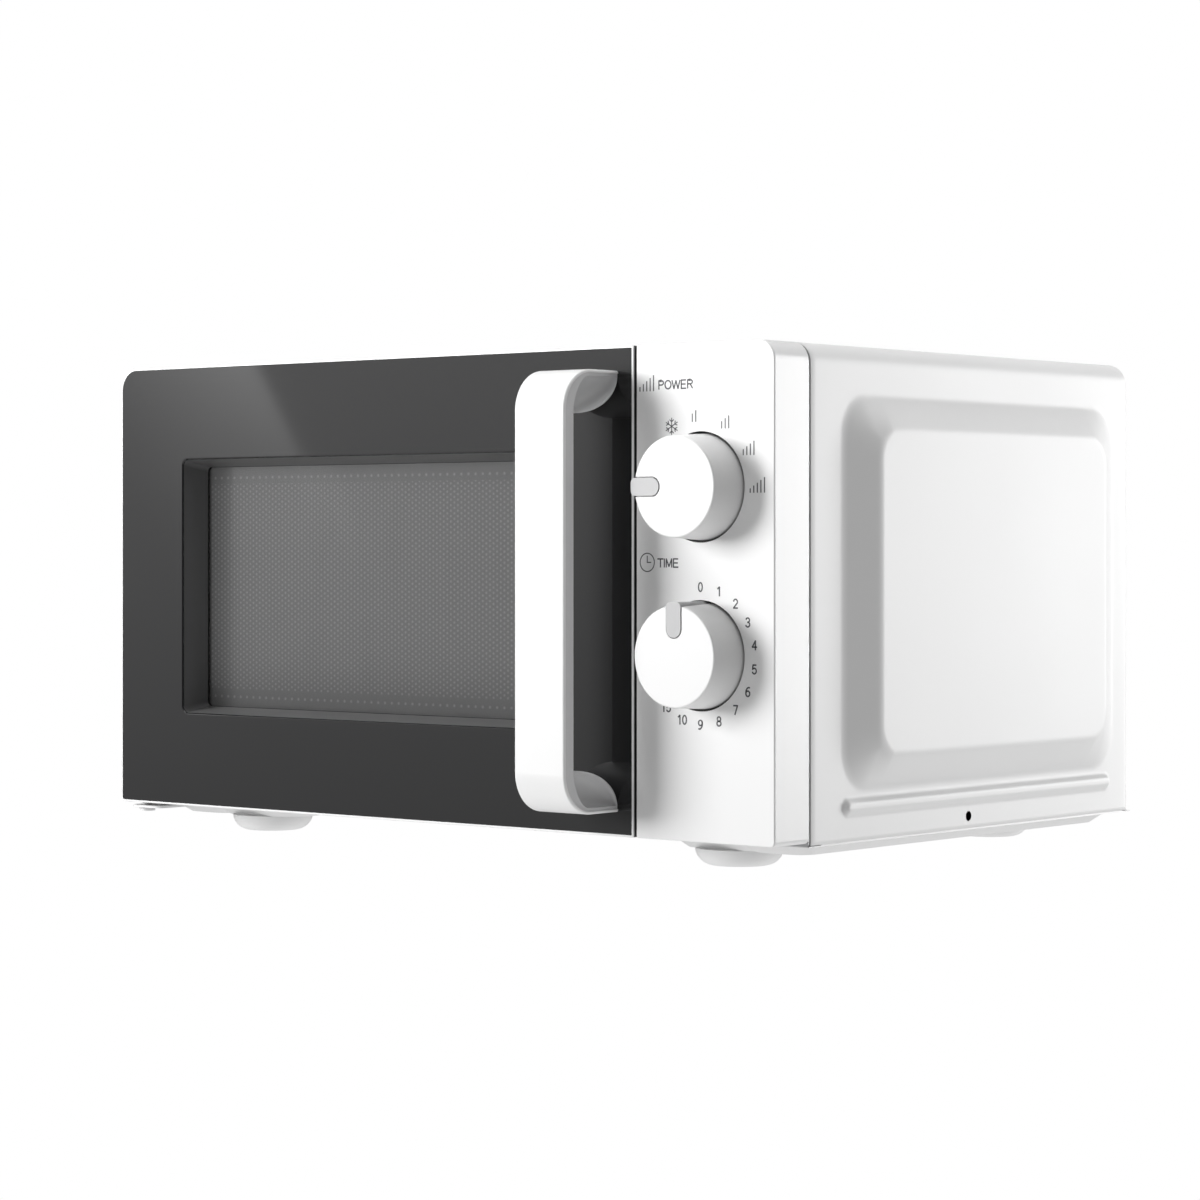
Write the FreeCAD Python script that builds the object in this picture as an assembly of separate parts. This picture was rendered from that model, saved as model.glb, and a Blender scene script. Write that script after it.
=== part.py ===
"""Countertop microwave oven: 20 litre class, two rotary controls, side-hinged door with a bar handle.

Millimetres. The parts are drawn in the bench frame: X from the left edge of the front, Y back from the
front face, Z up from the underside of the front. export() moves them to the row frame, whose origin is
at the middle of the footprint, on the surface that the oven stands on.
"""
import FreeCAD, Part
import math
import os

os.makedirs("parts", exist_ok=True)
V = FreeCAD.Vector

# Driving dimensions of the body
FRONT_W = 451.0          # door and control panel together
FRONT_H = 238.0          # height of the front, without feet
DEPTH = 319.0            # front face to the back of the case
FOOT_H = 15.5            # underside of the front above the table
HANDLE_REACH = 40.4      # how far the handle stands out of the door
SCREW_HEAD = 2.2         # height of a rear screw's head
SHEET = 0.6              # case, base and cavity steel

# Front layer
FRAME_DEPTH = 26.6       # depth of the door and the control panel
PLATE_Y0 = 27.4          # front plate, behind the door
PLATE_Y1 = PLATE_Y0 + SHEET
CASE_Y0 = 28.7
CORNER_R = 10.0
CASE_Z0 = -1.0

# Door
DOOR_W = 365.7
DOOR_REAR = 24.6
DOOR_GAP = 1.7
FRONT_T = 3.0
WINDOW = (49.2, 317.0, 50.2, 187.7)          # opening in the front, x then z
RECESS = (50.7, 315.5, 53.5, 183.5)          # the same at the bottom of the recess
RECESS_Y = 18.6
SCREEN = (44.0, 322.0, 45.0, 193.0)
PIN_X, PIN_Y, PIN_R = 8.0, 12.0, 2.5
PIN_SLACK = 0.05

# Handle: a flat bar bent back to the door at both ends
HANDLE_X0, HANDLE_X1 = 324.5, 356.1
HANDLE_Z0, HANDLE_Z1 = 12.0, 226.0
HANDLE_BEND = 20.0
STRIP_T = 1.4
LINER_T = 6.2
LINER_INSET = 0.4        # how much narrower the inner bar is, each side

# Cavity
CAV_X0, CAV_X1 = 20.0, 335.0
CAV_Z0, CAV_Z1 = 22.0, 220.0
CAV_Y1 = 304.0
CAV_R = 8.0

# Controls
PANEL_X0 = DOOR_W + DOOR_GAP
PANEL_WALL = 2.2
KNOB_X = 406.9
KNOB_Z = {"power": 169.1, "timer": 88.8}
KNOB_TURN = {"power": -90.0, "timer": 0.0}   # pointer, clockwise from twelve o'clock
KNOB_R_FRONT, KNOB_R_BASE = 24.2, 25.4
KNOB_REACH = 20.3
KNOB_POCKET_R, KNOB_POCKET = 26.5, 3.5
POINTER_W, POINTER_IN, POINTER_OUT = 8.6, 9.0, 25.9
SHAFT_R = 3.0

# Turntable
TABLE_X, TABLE_Y = 177.5, 168.0
TRAY_R = 122.5
ROLLER_R, ROLLER_TRACK = 6.9, 92.0
ROLL_GAP = 0.1           # between a roller and the floor, and the tray

# Base
FOOT_X = (63.0, FRONT_W - 63.0)
FOOT_Y = (55.0, 275.0)
PAN_Z = -7.0

# Latch
HOOK_X0, HOOK_X1 = 356.0, 360.0
HOOK_Z = (56.0, 182.0)
HOOK_TIP = 44.0

TO_ROW = V(-FRONT_W / 2, -(DEPTH + SCREW_HEAD - HANDLE_REACH) / 2, FOOT_H)


# ---- shape helpers -------------------------------------------------------------------------------
def block(x0, x1, y0, y1, z0, z1):
    """A box between two corners."""
    return Part.makeBox(x1 - x0, y1 - y0, z1 - z0, V(x0, y0, z0))


def rod(start, direction, length, radius):
    """A cylinder from start along direction."""
    return Part.makeCylinder(radius, length, V(*start), V(*direction))


def tube(start, direction, length, outer, inner):
    """A cylinder with a hole right through it."""
    return rod(start, direction, length, outer).cut(rod(start, direction, length, inner))


PLACES = {
    "x": lambda u, v, w: V(w, u, v),
    "y": lambda u, v, w: V(u, w, v),
    "z": lambda u, v, w: V(u, v, w),
}


def outline(normal, w, u0, u1, v0, v1, radii):
    """A rectangle across one axis with rounded corners, in the order low-low, high-low, high-high, low-high."""
    place = PLACES[normal]
    a, b, c, d = radii
    k = 1 - math.sqrt(0.5)
    corners = [
        (u0, v0, a, (u0, v0 + a), (u0 + k * a, v0 + k * a), (u0 + a, v0)),
        (u1, v0, b, (u1 - b, v0), (u1 - k * b, v0 + k * b), (u1, v0 + b)),
        (u1, v1, c, (u1, v1 - c), (u1 - k * c, v1 - k * c), (u1 - c, v1)),
        (u0, v1, d, (u0 + d, v1), (u0 + k * d, v1 - k * d), (u0, v1 - d)),
    ]
    edges = []
    for n, (_, _, r, start, middle, end) in enumerate(corners):
        if r > 0:
            edges.append(Part.Arc(place(*start, w), place(*middle, w), place(*end, w)).toShape())
        following = corners[(n + 1) % 4][3]
        if math.dist(end, following) > 1e-6:
            edges.append(Part.LineSegment(place(*end, w), place(*following, w)).toShape())
    return Part.Wire(edges)


def prism(normal, u0, u1, v0, v1, w0, w1, radii):
    """A rounded rectangle carried along one axis from w0 to w1."""
    face = Part.Face(outline(normal, w0, u0, u1, v0, v1, radii))
    return face.extrude(PLACES[normal](0, 0, w1 - w0))


def pressing(normal, u0, u1, v0, v1, r, w0, height, run_u, run_v, depth):
    """A raised panel pressed out of a sheet: a frustum on w0, with a root going depth into the sheet."""
    top_r = min(r, (u1 - u0) / 2 - run_u - 0.1, (v1 - v0) / 2 - run_v - 0.1)
    low = outline(normal, w0, u0, u1, v0, v1, (r,) * 4)
    high = outline(normal, w0 + height, u0 + run_u, u1 - run_u, v0 + run_v, v1 - run_v, (top_r,) * 4)
    root = prism(normal, u0, u1, v0, v1, w0 - math.copysign(depth, height), w0, (r,) * 4)
    return Part.makeLoft([low, high], True, True).fuse(root)


def joined(shapes):
    """All the shapes as one solid, with the seams between flush faces taken out."""
    first, *rest = shapes
    return first.multiFuse(rest).removeSplitter() if rest else first


def group(shapes):
    """Several separate solids in one node."""
    return Part.makeCompound(shapes)


def slots(count, pitch, make):
    """A row of cutters, made one by one at n times the pitch."""
    return [make(n * pitch) for n in range(count)]


def export(name, shape):
    """Writes one sub-part in the row frame."""
    moved = shape.copy()
    moved.translate(TO_ROW)
    if not moved.isValid() or moved.Volume <= 0:
        raise ValueError(f"{name} is not a valid solid")
    moved.exportStep(f"parts/{name}.step")
    print(f"{name:22s} solids {len(moved.Solids)} volume {moved.Volume:12.1f}")


# ---- case, rear panel, base, feet ----------------------------------------------------------------
REAR_SCREWS = [(x, z) for x in (14.0, FRONT_W - 14.0) for z in (34.0, 119.0, 204.0)]
SIDE_SCREW_Y, SIDE_SCREW_Z = 161.8, 5.0
SCREW_R, SCREW_HOLE_R, SCREW_HEAD_R = 1.5, 1.7, 3.5
BULGE = dict(u0=54.3, u1=297.5, v0=24.0, v1=213.3, r=19.0, height=9.2, run_u=19.5, run_v=15.5)
RIB = dict(u0=53.9, u1=295.0, v0=11.3, v1=19.7, r=4.1, height=2.2, run_u=2.0, run_v=2.0)


def side_pressings(x_face):
    """The bulged panel and the stiffening rib on the right-hand side of the case, on plane x_face."""
    return [pressing("x", w0=x_face, depth=0.4, **BULGE), pressing("x", w0=x_face, depth=0.4, **RIB)]


def mirrored(shape):
    """The same shape on the other side of the oven."""
    return shape.mirror(V(FRONT_W / 2, 0, 0), V(1, 0, 0))


def rounded_hood(inset, extra_front, extra_low):
    """The case's outer or inner form: a hood with rounded top edges and a rounded back."""
    r = CORNER_R - inset
    z0 = CASE_Z0 - extra_low
    y1 = DEPTH - inset
    body = prism("y", inset, FRONT_W - inset, z0, FRONT_H - inset, CASE_Y0 - extra_front, y1, (0, 0, r, r))
    back = [e for e in body.Edges if all(abs(v.Point.y - y1) < 1e-6 for v in e.Vertexes)
            and e.BoundBox.ZMax > z0 + 1]
    return body.makeFillet(r - 1.5, back)


def outer_case():
    """Sheet-steel hood: two sides, top and a narrow rear flange."""
    outer = rounded_hood(0, 0, 0)
    inner = rounded_hood(SHEET, 5, 5)
    raised = side_pressings(FRONT_W)
    hollow = side_pressings(FRONT_W - SHEET)
    shell = outer.multiFuse(raised + [mirrored(s) for s in raised])
    flange = 20.0
    span = (flange, FRONT_W - flange, CASE_Z0 - 5, FRONT_H - flange)
    opening = prism("y", *span, DEPTH - 5, DEPTH + 5, (0, 0, 6, 6))
    holes = [rod((x, DEPTH - 5, z), (0, 1, 0), 10, SCREW_HOLE_R) for x, z in REAR_SCREWS]
    holes += [rod((x, SIDE_SCREW_Y, SIDE_SCREW_Z), (1, 0, 0), 4, 2.6) for x in (-2, FRONT_W - 2)]
    shell = shell.cut(inner.multiFuse(hollow + [mirrored(s) for s in hollow]))
    return shell.cut(opening.multiFuse(holes))


GLAND_X, GLAND_Z, GLAND_R = 408.0, 24.0, 8.0
REAR_Y0 = DEPTH - 2 * SHEET


def rear_panel():
    """Back sheet with the fan's air slots, the exhaust slots and the hole for the cord bush."""
    plate = prism("y", 9.5, FRONT_W - 9.5, -2.0, FRONT_H - 9.5, REAR_Y0, DEPTH - SHEET, (0.5, 0.5, 8, 8))
    cutters = [rod((x, REAR_Y0 - 1, z), (0, 1, 0), 5, SCREW_HOLE_R) for x, z in REAR_SCREWS]
    cutters.append(rod((GLAND_X, REAR_Y0 - 1, GLAND_Z), (0, 1, 0), 5, GLAND_R))
    for x0, z0, count in ((352.0, 68.0, 12), (396.0, 68.0, 12), (60.0, 172.0, 6), (104.0, 172.0, 6)):
        slot = prism("y", x0, x0 + 36, z0, z0 + 3.2, REAR_Y0 - 1, DEPTH, (1.5,) * 4)
        cutters += [slot.translated(V(0, 0, n * 6.5)) for n in range(count)]
    return plate.cut(cutters[0].multiFuse(cutters[1:]))


def base_forms(z_face, depth):
    """The pressings of the base: two side rails, a boss round each foot, and the pan between."""
    common = dict(w0=z_face, height=PAN_Z + 2.0, depth=depth)
    rail = dict(v0=31.0, v1=307.0, r=9.0, run_u=5.0, run_v=7.0, **common)
    forms = [pressing("z", u0=x, u1=x + 43.0, **rail) for x in (6.0, FRONT_W - 49.0)]
    boss = dict(r=26.0, run_u=7.0, run_v=7.0, **common)
    for x in FOOT_X:
        forms += [pressing("z", u0=x - 36, u1=x + 36, v0=y - 24, v1=y + 30, **boss) for y in FOOT_Y]
    middle = dict(r=14.0, run_u=7.0, run_v=7.0, **common)
    forms.append(pressing("z", u0=105.0, u1=330.0, v0=100.0, v1=292.0, **middle))
    return forms


def base_plate():
    """Pressed bottom sheet with upturned sides, air slots and the four foot holes."""
    z0, z1 = -2.0, -2.0 + SHEET
    flat = block(SHEET, FRONT_W - SHEET, PLATE_Y1, REAR_Y0, z0, z1)
    sides = [block(SHEET, 2 * SHEET, CASE_Y0 + 9, REAR_Y0 - 8, z1, 10.0)]
    sides.append(mirrored(sides[0]))
    raised = base_forms(z0, 0.4)
    hollow = base_forms(z1, 2.0)
    sheet = flat.multiFuse(sides + raised)
    sheet = sheet.cut(hollow[0].multiFuse(hollow[1:]))
    cutters = [rod((x, y, PAN_Z - 3), (0, 0, 1), 8, 3.2) for x in FOOT_X for y in FOOT_Y]
    cutters += slots(9, 8.0, lambda dx: prism(
        "z", 150 + dx, 153.5 + dx, 215, 265, PAN_Z - 2, PAN_Z + 2, (1.7,) * 4))
    cutters += [rod((x, SIDE_SCREW_Y, SIDE_SCREW_Z), (1, 0, 0), 6, SCREW_R) for x in (-1, FRONT_W - 5)]
    return sheet.cut(cutters[0].multiFuse(cutters[1:]))


def foot(x, y):
    """Round moulded foot with a stem that clips through the base."""
    r_top, r_low = 22.0, 13.0
    z_top, z_low = PAN_Z, -FOOT_H
    points = [V(0, 0, z_low), V(r_low, 0, z_low), V(r_top, 0, z_top), V(0, 0, z_top)]
    bend = V(r_low + (r_top - r_low) * 0.68, 0, z_low + (z_top - z_low) * 0.3)
    edges = [
        Part.LineSegment(points[0], points[1]).toShape(),
        Part.Arc(points[1], bend, points[2]).toShape(),
        Part.LineSegment(points[2], points[3]).toShape(),
        Part.LineSegment(points[3], points[0]).toShape(),
    ]
    bowl = Part.Face(Part.Wire(edges)).revolve(V(0, 0, 0), V(0, 0, 1), 360)
    stem = rod((0, 0, z_top), (0, 0, 1), 4.5, 3.0)
    shape = joined([bowl, stem])
    shape.translate(V(x, y, 0))
    return shape


# ---- front plate, cavity and what is fixed to it -------------------------------------------------
PORT_Y0, PORT_Y1, PORT_Z0, PORT_Z1 = 118.0, 198.0, 128.0, 172.0


def front_plate():
    """Steel face behind the door and the panel: cavity mouth, hook notches and a rim inside the case."""
    w = SHEET
    r = CORNER_R - w
    plate = prism("y", w, FRONT_W - w, -1.2, FRONT_H - w, PLATE_Y0, CASE_Y0 + 8, (1, 1, r, r))
    inside = (2 * w, FRONT_W - 2 * w, -1.2 + w, FRONT_H - 2 * w)
    behind = prism("y", *inside, PLATE_Y1, CASE_Y0 + 9, (1, 1, r - w, r - w))
    mouth = prism("y", CAV_X0, CAV_X1, CAV_Z0, CAV_Z1, PLATE_Y0 - 1, PLATE_Y1 + 1, (CAV_R,) * 4)
    controls = prism("y", 376, FRONT_W - 8, 18, FRONT_H - 16, PLATE_Y0 - 1, PLATE_Y1 + 1, (6,) * 4)
    hooks = []
    for z in HOOK_Z:
        hooks.append(prism("y", HOOK_X0 - 3, 378, z - 14, z + 11, PLATE_Y0 - 1, PLATE_Y1 + 1, (2, 0, 0, 2)))
    hinge = block(5.0, 22.6, PLATE_Y0 - 1, PLATE_Y1 + 1, 232.8, 234.8)
    return plate.cut(behind).cut(mouth.multiFuse([controls, hinge] + hooks))


def cavity():
    """Welded cooking box, open at the front, with lamp holes, air holes, wave port and drive hole."""
    x0, x1, z0, z1 = CAV_X0 - SHEET, CAV_X1 + SHEET, CAV_Z0 - SHEET, CAV_Z1 + SHEET
    outer = prism("y", x0, x1, z0, z1, PLATE_Y1, CAV_Y1 + SHEET, (CAV_R + SHEET,) * 4)
    inner = prism("y", CAV_X0, CAV_X1, CAV_Z0, CAV_Z1, PLATE_Y1 - 1, CAV_Y1, (CAV_R,) * 4)
    cutters = [rod((TABLE_X, TABLE_Y, z0 - 1), (0, 0, 1), 4, 8.0)]
    cutters.append(block(x1 - 3, x1 + 1, PORT_Y0, PORT_Y1, PORT_Z0, PORT_Z1))
    for row in range(4):
        for column in range(5):
            start = (x1 - 3, 232 + column * 7.0, 184 + row * 7.0)
            cutters.append(rod(start, (1, 0, 0), 5, 1.8))
    for row in range(3):
        for column in range(7):
            start = (x0 - 1, 60 + column * 7.0, 186 + row * 7.0)
            cutters.append(rod(start, (1, 0, 0), 5, 1.8))
    return outer.cut(inner).cut(cutters[0].multiFuse(cutters[1:]))


WALL_X = CAV_X1 + SHEET
GUIDE_X1 = WALL_X + 17.0


def waveguide():
    """Sheet duct on the cavity's right wall, from the magnetron down to the port."""
    y0, y1, z0, z1 = PORT_Y0 - 5, PORT_Y1 + 5, PORT_Z0 - 5, 214.0
    outer = block(WALL_X, GUIDE_X1, y0, y1, z0, z1)
    inner = block(WALL_X - 1, GUIDE_X1 - 1, y0 + 1, y1 - 1, z0 + 1, z1 - 1)
    antenna_hole = rod((GUIDE_X1 - 3, 158, 192), (1, 0, 0), 6, 12.5)
    return outer.cut(inner).cut(antenna_hole)


def waveguide_cover():
    """Mica sheet over the port, inside the cavity."""
    cover = prism("x", PORT_Y0 - 7, PORT_Y1 + 7, PORT_Z0 - 7, PORT_Z1 + 7, CAV_X1 - 0.5, CAV_X1, (5,) * 4)
    return cover


def magnetron():
    """Cooling fins in a yoke, filter box behind, antenna into the waveguide."""
    x0, y0, y1, z0, z1 = GUIDE_X1, 112.0, 204.0, 154.0, 230.0
    x1 = x0 + 62.0
    yoke = block(x0, x1, y0, y1, z0, z1).cut(block(x0 + 3, x1 - 3, y0 - 1, y1 + 1, z0 + 3, z1 - 3))
    anode = rod((x0 + 2, 158, 192), (1, 0, 0), 58, 20)
    fins = [block(x0 + 12 + n * 6.0, x0 + 13 + n * 6.0, y0 + 6, y1 - 6, z0 + 2.5, z1 - 2.5) for n in range(7)]
    antenna = rod((x0 - 10, 158, 192), (1, 0, 0), 12, 7.5)
    box = block(x1, x1 + 26, y0 + 14, y1 - 14, z0 + 8, z1 - 8)
    return joined([yoke, anode, antenna, box] + fins)


TRANS_X0, TRANS_X1, TRANS_Y0, TRANS_Y1 = 348.0, 438.0, 100.0, 182.0
FLOOR_Z = PAN_Z + SHEET
DECK_Z = 14.0


def component_tray():
    """Folded sheet deck that carries the heavy electrical parts above the base pressings."""
    deck = block(338, 448, 92, 243, DECK_Z - 1.2, DECK_Z)
    legs = [block(x, x + 1.2, 92, 243, -1.2, DECK_Z - 1.2) for x in (338.0, 446.8)]
    screw_hole = rod((440, SIDE_SCREW_Y, SIDE_SCREW_Z), (1, 0, 0), 10, 2.2)
    return joined([deck] + legs).cut(screw_hole)


def transformer_core():
    """Laminated iron core with two windows for the windings."""
    z0 = DECK_Z
    core = block(TRANS_X0, TRANS_X1, TRANS_Y0 + 16, TRANS_Y1 - 16, z0, z0 + 74)
    windows = [block(x, x + 17, TRANS_Y0, TRANS_Y1, z0 + 15, z0 + 59) for x in (TRANS_X0 + 14, TRANS_X1 - 31)]
    return core.cut(windows[0].fuse(windows[1]))


def transformer_windings():
    """Primary and secondary coils round the middle limb."""
    coils = []
    for z0, z1 in ((DECK_Z + 16, DECK_Z + 33), (DECK_Z + 36, DECK_Z + 58)):
        outer = prism("z", TRANS_X0 + 14.3, TRANS_X1 - 14.3, TRANS_Y0, TRANS_Y1, z0, z1, (14,) * 4)
        limb = block(TRANS_X0 + 31, TRANS_X1 - 31, TRANS_Y0 + 16, TRANS_Y1 - 16, z0 - 1, z1 + 1)
        coils.append(outer.cut(limb))
    return group(coils)


def capacitor():
    """Oval high-voltage capacitor lying on the deck, with two terminals."""
    can = prism("y", 352, 404, DECK_Z, DECK_Z + 34, 190, 242, (16,) * 4)
    pins = [block(x, x + 6, 184, 190, DECK_Z + 16, DECK_Z + 17) for x in (362.0, 386.0)]
    return joined([can] + pins)


def diode():
    """High-voltage diode, a small block on the deck."""
    body = block(414, 430, 200, 207, DECK_Z, DECK_Z + 7)
    return joined([body, rod((430, 203.5, DECK_Z + 3.5), (1, 0, 0), 8, 1.2)])


FAN_X, FAN_Z, FAN_R = 393.0, 112.0, 38.0
SHROUD_Y = 284.0


def fan_shroud():
    """Upright wall with the fan's mouth, between the fan and the compartment."""
    wall = block(WALL_X, 447.5, SHROUD_Y, SHROUD_Y + 1.6, -1.2, 226)
    mouth = rod((FAN_X, SHROUD_Y - 10, FAN_Z), (0, 1, 0), 20, FAN_R + 3)
    lip = tube((FAN_X, SHROUD_Y - 8, FAN_Z), (0, 1, 0), 8.5, FAN_R + 4.6, FAN_R + 3)
    return joined([wall.cut(mouth), lip])


def fan_motor():
    """Shaded-pole motor on two arms across the mouth."""
    y0 = SHROUD_Y + 1.6
    arms = [block(FAN_X - 48, FAN_X + 48, y0, y0 + 3, FAN_Z + dz, FAN_Z + dz + 6) for dz in (-18, 12)]
    stator = block(FAN_X - 20, FAN_X + 20, y0 + 3, y0 + 18, FAN_Z - 26, FAN_Z + 26)
    coil = prism("y", FAN_X - 13, FAN_X + 13, FAN_Z + 26, FAN_Z + 44, y0 + 1, y0 + 24, (3,) * 4)
    bearing = rod((FAN_X, y0 + 18, FAN_Z), (0, 1, 0), 6, 9)
    bore = rod((FAN_X, y0 - 1, FAN_Z), (0, 1, 0), 26, 1.65)
    return joined(arms + [stator, coil, bearing]).cut(bore)


def fan_blade():
    """Five-bladed moulded fan on its shaft."""
    hub = rod((FAN_X, SHROUD_Y - 16, FAN_Z), (0, 1, 0), 15, 10)
    blades = []
    for n in range(5):
        blade = block(6, FAN_R, -9.5, 9.5, -0.8, 0.8)
        blade.rotate(V(0, 0, 0), V(1, 0, 0), 35)
        blade.rotate(V(0, 0, 0), V(0, 1, 0), n * 72)
        blade.translate(V(FAN_X, SHROUD_Y - 8.5, FAN_Z))
        blades.append(blade)
    shaft = rod((FAN_X, SHROUD_Y - 2, FAN_Z), (0, 1, 0), 22, 1.6)
    limit = rod((FAN_X, SHROUD_Y - 20, FAN_Z), (0, 1, 0), 50, FAN_R)
    return joined([hub, shaft] + blades).common(limit)


def lamp_holder():
    """Lamp socket on a bracket against the cavity's right wall."""
    bracket = block(WALL_X, WALL_X + 1.2, 224, 272, 172, 218)
    window = block(WALL_X - 1, WALL_X + 3, 229, 265, 180, 210)
    shelf = block(WALL_X + 1.2, WALL_X + 34, 266, 272, 184, 208)
    socket = rod((WALL_X + 17, 258, 195), (0, 1, 0), 8, 10)
    return joined([bracket.cut(window), shelf, socket])


def lamp_bulb():
    """Small pear-shaped oven lamp."""
    glass = Part.makeSphere(10.5, V(WALL_X + 17, 238, 195))
    neck = rod((WALL_X + 17, 240, 195), (0, 1, 0), 18, 6.5)
    return joined([glass, neck])


def turntable_motor():
    """Flat synchronous motor under the cavity floor."""
    z1 = CAV_Z0 - SHEET
    body = rod((TABLE_X, TABLE_Y, z1 - 14), (0, 0, 1), 14, 24.5)
    ears = block(TABLE_X - 29, TABLE_X + 29, TABLE_Y - 5, TABLE_Y + 5, z1 - 1.2, z1)
    bore = rod((TABLE_X, TABLE_Y, z1 - 12), (0, 0, 1), 16, 3.6)
    return joined([body, ears]).cut(bore)


# ---- turntable -----------------------------------------------------------------------------------
def turntable_coupler():
    """Three-armed drive coupling on the motor's shaft, through the floor."""
    shaft = rod((TABLE_X, TABLE_Y, CAV_Z0 - SHEET - 11), (0, 0, 1), 16, 3.5)
    hub = rod((TABLE_X, TABLE_Y, CAV_Z0 + 2), (0, 0, 1), 9, 6.5)
    arms = []
    for n in range(3):
        arm = prism("z", 3, 17, -2.6, 2.6, CAV_Z0 + 4, CAV_Z0 + 11, (0.5, 2.5, 2.5, 0.5))
        arm.rotate(V(0, 0, 0), V(0, 0, 1), n * 120 + 30)
        arm.translate(V(TABLE_X, TABLE_Y, 0))
        arms.append(arm)
    return joined([shaft, hub] + arms)


AXLE_Z = CAV_Z0 + ROLL_GAP + ROLLER_R
TRAY_Z = AXLE_Z + ROLLER_R + ROLL_GAP


def glass_tray():
    """Round glass dish with a raised rim, and three lugs underneath that sit between the coupler's arms."""
    profile = [
        (0, TRAY_Z), (112, TRAY_Z), (TRAY_R, TRAY_Z + 11), (TRAY_R, TRAY_Z + 13),
        (TRAY_R - 3, TRAY_Z + 13), (110, TRAY_Z + 4), (0, TRAY_Z + 4),
    ]
    points = [V(r, 0, z) for r, z in profile]
    dish = Part.Face(Part.makePolygon(points + [points[0]])).revolve(V(0, 0, 0), V(0, 0, 1), 360)
    lugs = []
    for n in range(3):
        angle = math.radians(n * 120 + 90)
        lugs.append(rod((13 * math.cos(angle), 13 * math.sin(angle), TRAY_Z - 5), (0, 0, 1), 7, 3.2))
    tray = joined([dish] + lugs)
    tray.translate(V(TABLE_X, TABLE_Y, 0))
    return tray


ROLLER_W, AXLE_R = 6.0, 1.5


def on_ring(shape, n):
    """Puts a shape drawn along +X at the n-th roller's place."""
    shape.rotate(V(0, 0, 0), V(0, 0, 1), n * 120 + 30)
    shape.translate(V(TABLE_X, TABLE_Y, AXLE_Z))
    return shape


def roller_ring():
    """Moulded ring with three stub axles that carries the rollers."""
    half_w, half_h = 3.0, 2.5
    inner_face = ROLLER_TRACK - ROLLER_W / 2 - 0.4
    start = (TABLE_X, TABLE_Y, AXLE_Z - half_h)
    ring = tube(start, (0, 0, 1), 2 * half_h, inner_face, inner_face - 2 * half_w)
    axles = []
    for n in range(3):
        axle = rod((inner_face - 1, 0, 0), (1, 0, 0), ROLLER_W + 2.2, AXLE_R)
        cap = rod((ROLLER_TRACK + ROLLER_W / 2 + 0.4, 0, 0), (1, 0, 0), 1.4, 2.6)
        axles += [on_ring(axle, n), on_ring(cap, n)]
    return joined([ring] + axles)


def roller(n):
    """Small wheel on one of the ring's axles."""
    wheel = tube((ROLLER_TRACK - ROLLER_W / 2, 0, 0), (1, 0, 0), ROLLER_W, ROLLER_R, AXLE_R + 0.06)
    return on_ring(wheel, n)


# ---- control panel -------------------------------------------------------------------------------
def control_panel():
    """White moulded panel: a shallow box open at the back, with a round pocket for each knob."""
    radii = (0.8, 2.5, 9.5, 0.8)
    outer = prism("y", PANEL_X0, FRONT_W, 0, FRONT_H, 0, FRAME_DEPTH, radii)
    w = PANEL_WALL
    inner = prism("y", PANEL_X0 + w, FRONT_W - w, w, FRONT_H - w, w, FRAME_DEPTH + 1, (0.5, 0.5, 7.3, 0.5))
    shell = rounded_front(outer, 0.7).cut(inner)
    for z in KNOB_Z.values():
        shell = shell.fuse(rod((KNOB_X, 1.0, z), (0, 1, 0), KNOB_POCKET + w - 1.0, KNOB_POCKET_R + 2))
    pads = [block(x, x + 5.5, 16, PLATE_Y0, z, z + 10) for x in (370.0, FRONT_W - 7.5) for z in (20.0, 208.0)]
    shell = shell.multiFuse(pads)
    cutters = [rod((KNOB_X, -1, z), (0, 1, 0), KNOB_POCKET + 1, KNOB_POCKET_R) for z in KNOB_Z.values()]
    cutters += [rod((KNOB_X, -1, z), (0, 1, 0), 12, 4.5) for z in KNOB_Z.values()]
    return shell.cut(cutters[0].multiFuse(cutters[1:]))


BRACKET_Y = KNOB_POCKET + PANEL_WALL


def panel_bracket():
    """Steel plate behind the panel that the two control units are screwed to."""
    plate = prism("y", 375, 441, 48, 206, BRACKET_Y, BRACKET_Y + 1.0, (3,) * 4)
    holes = [rod((KNOB_X, BRACKET_Y - 1, z), (0, 1, 0), 4, 5.0) for z in KNOB_Z.values()]
    return plate.cut(holes[0].fuse(holes[1]))


def timer_unit():
    """Clockwork timer and switch box, with its bell on the back."""
    y0, z = BRACKET_Y + 1.0, KNOB_Z["timer"]
    body = prism("y", KNOB_X - 23, KNOB_X + 23, z - 23, z + 23, y0, y0 + 36, (3,) * 4)
    bell = rod((KNOB_X, y0 + 38, z), (0, 1, 0), 8, 19)
    post = rod((KNOB_X, y0 + 35, z), (0, 1, 0), 4, 4)
    bore = rod((KNOB_X, y0 - 1, z), (0, 1, 0), 11, SHAFT_R + PIN_SLACK)
    return joined([body, post, bell]).cut(bore)


def power_selector():
    """Five-step power switch."""
    y0, z = BRACKET_Y + 1.0, KNOB_Z["power"]
    body = prism("y", KNOB_X - 19, KNOB_X + 19, z - 19, z + 19, y0, y0 + 28, (3,) * 4)
    tabs = (KNOB_X - 14 + n * 8 for n in range(4))
    terminals = [block(x, x + 1, y0 + 28, y0 + 36, z - 3, z + 3) for x in tabs]
    bore = rod((KNOB_X, y0 - 1, z), (0, 1, 0), 11, SHAFT_R + PIN_SLACK)
    return joined([body] + terminals).cut(bore)


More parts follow.
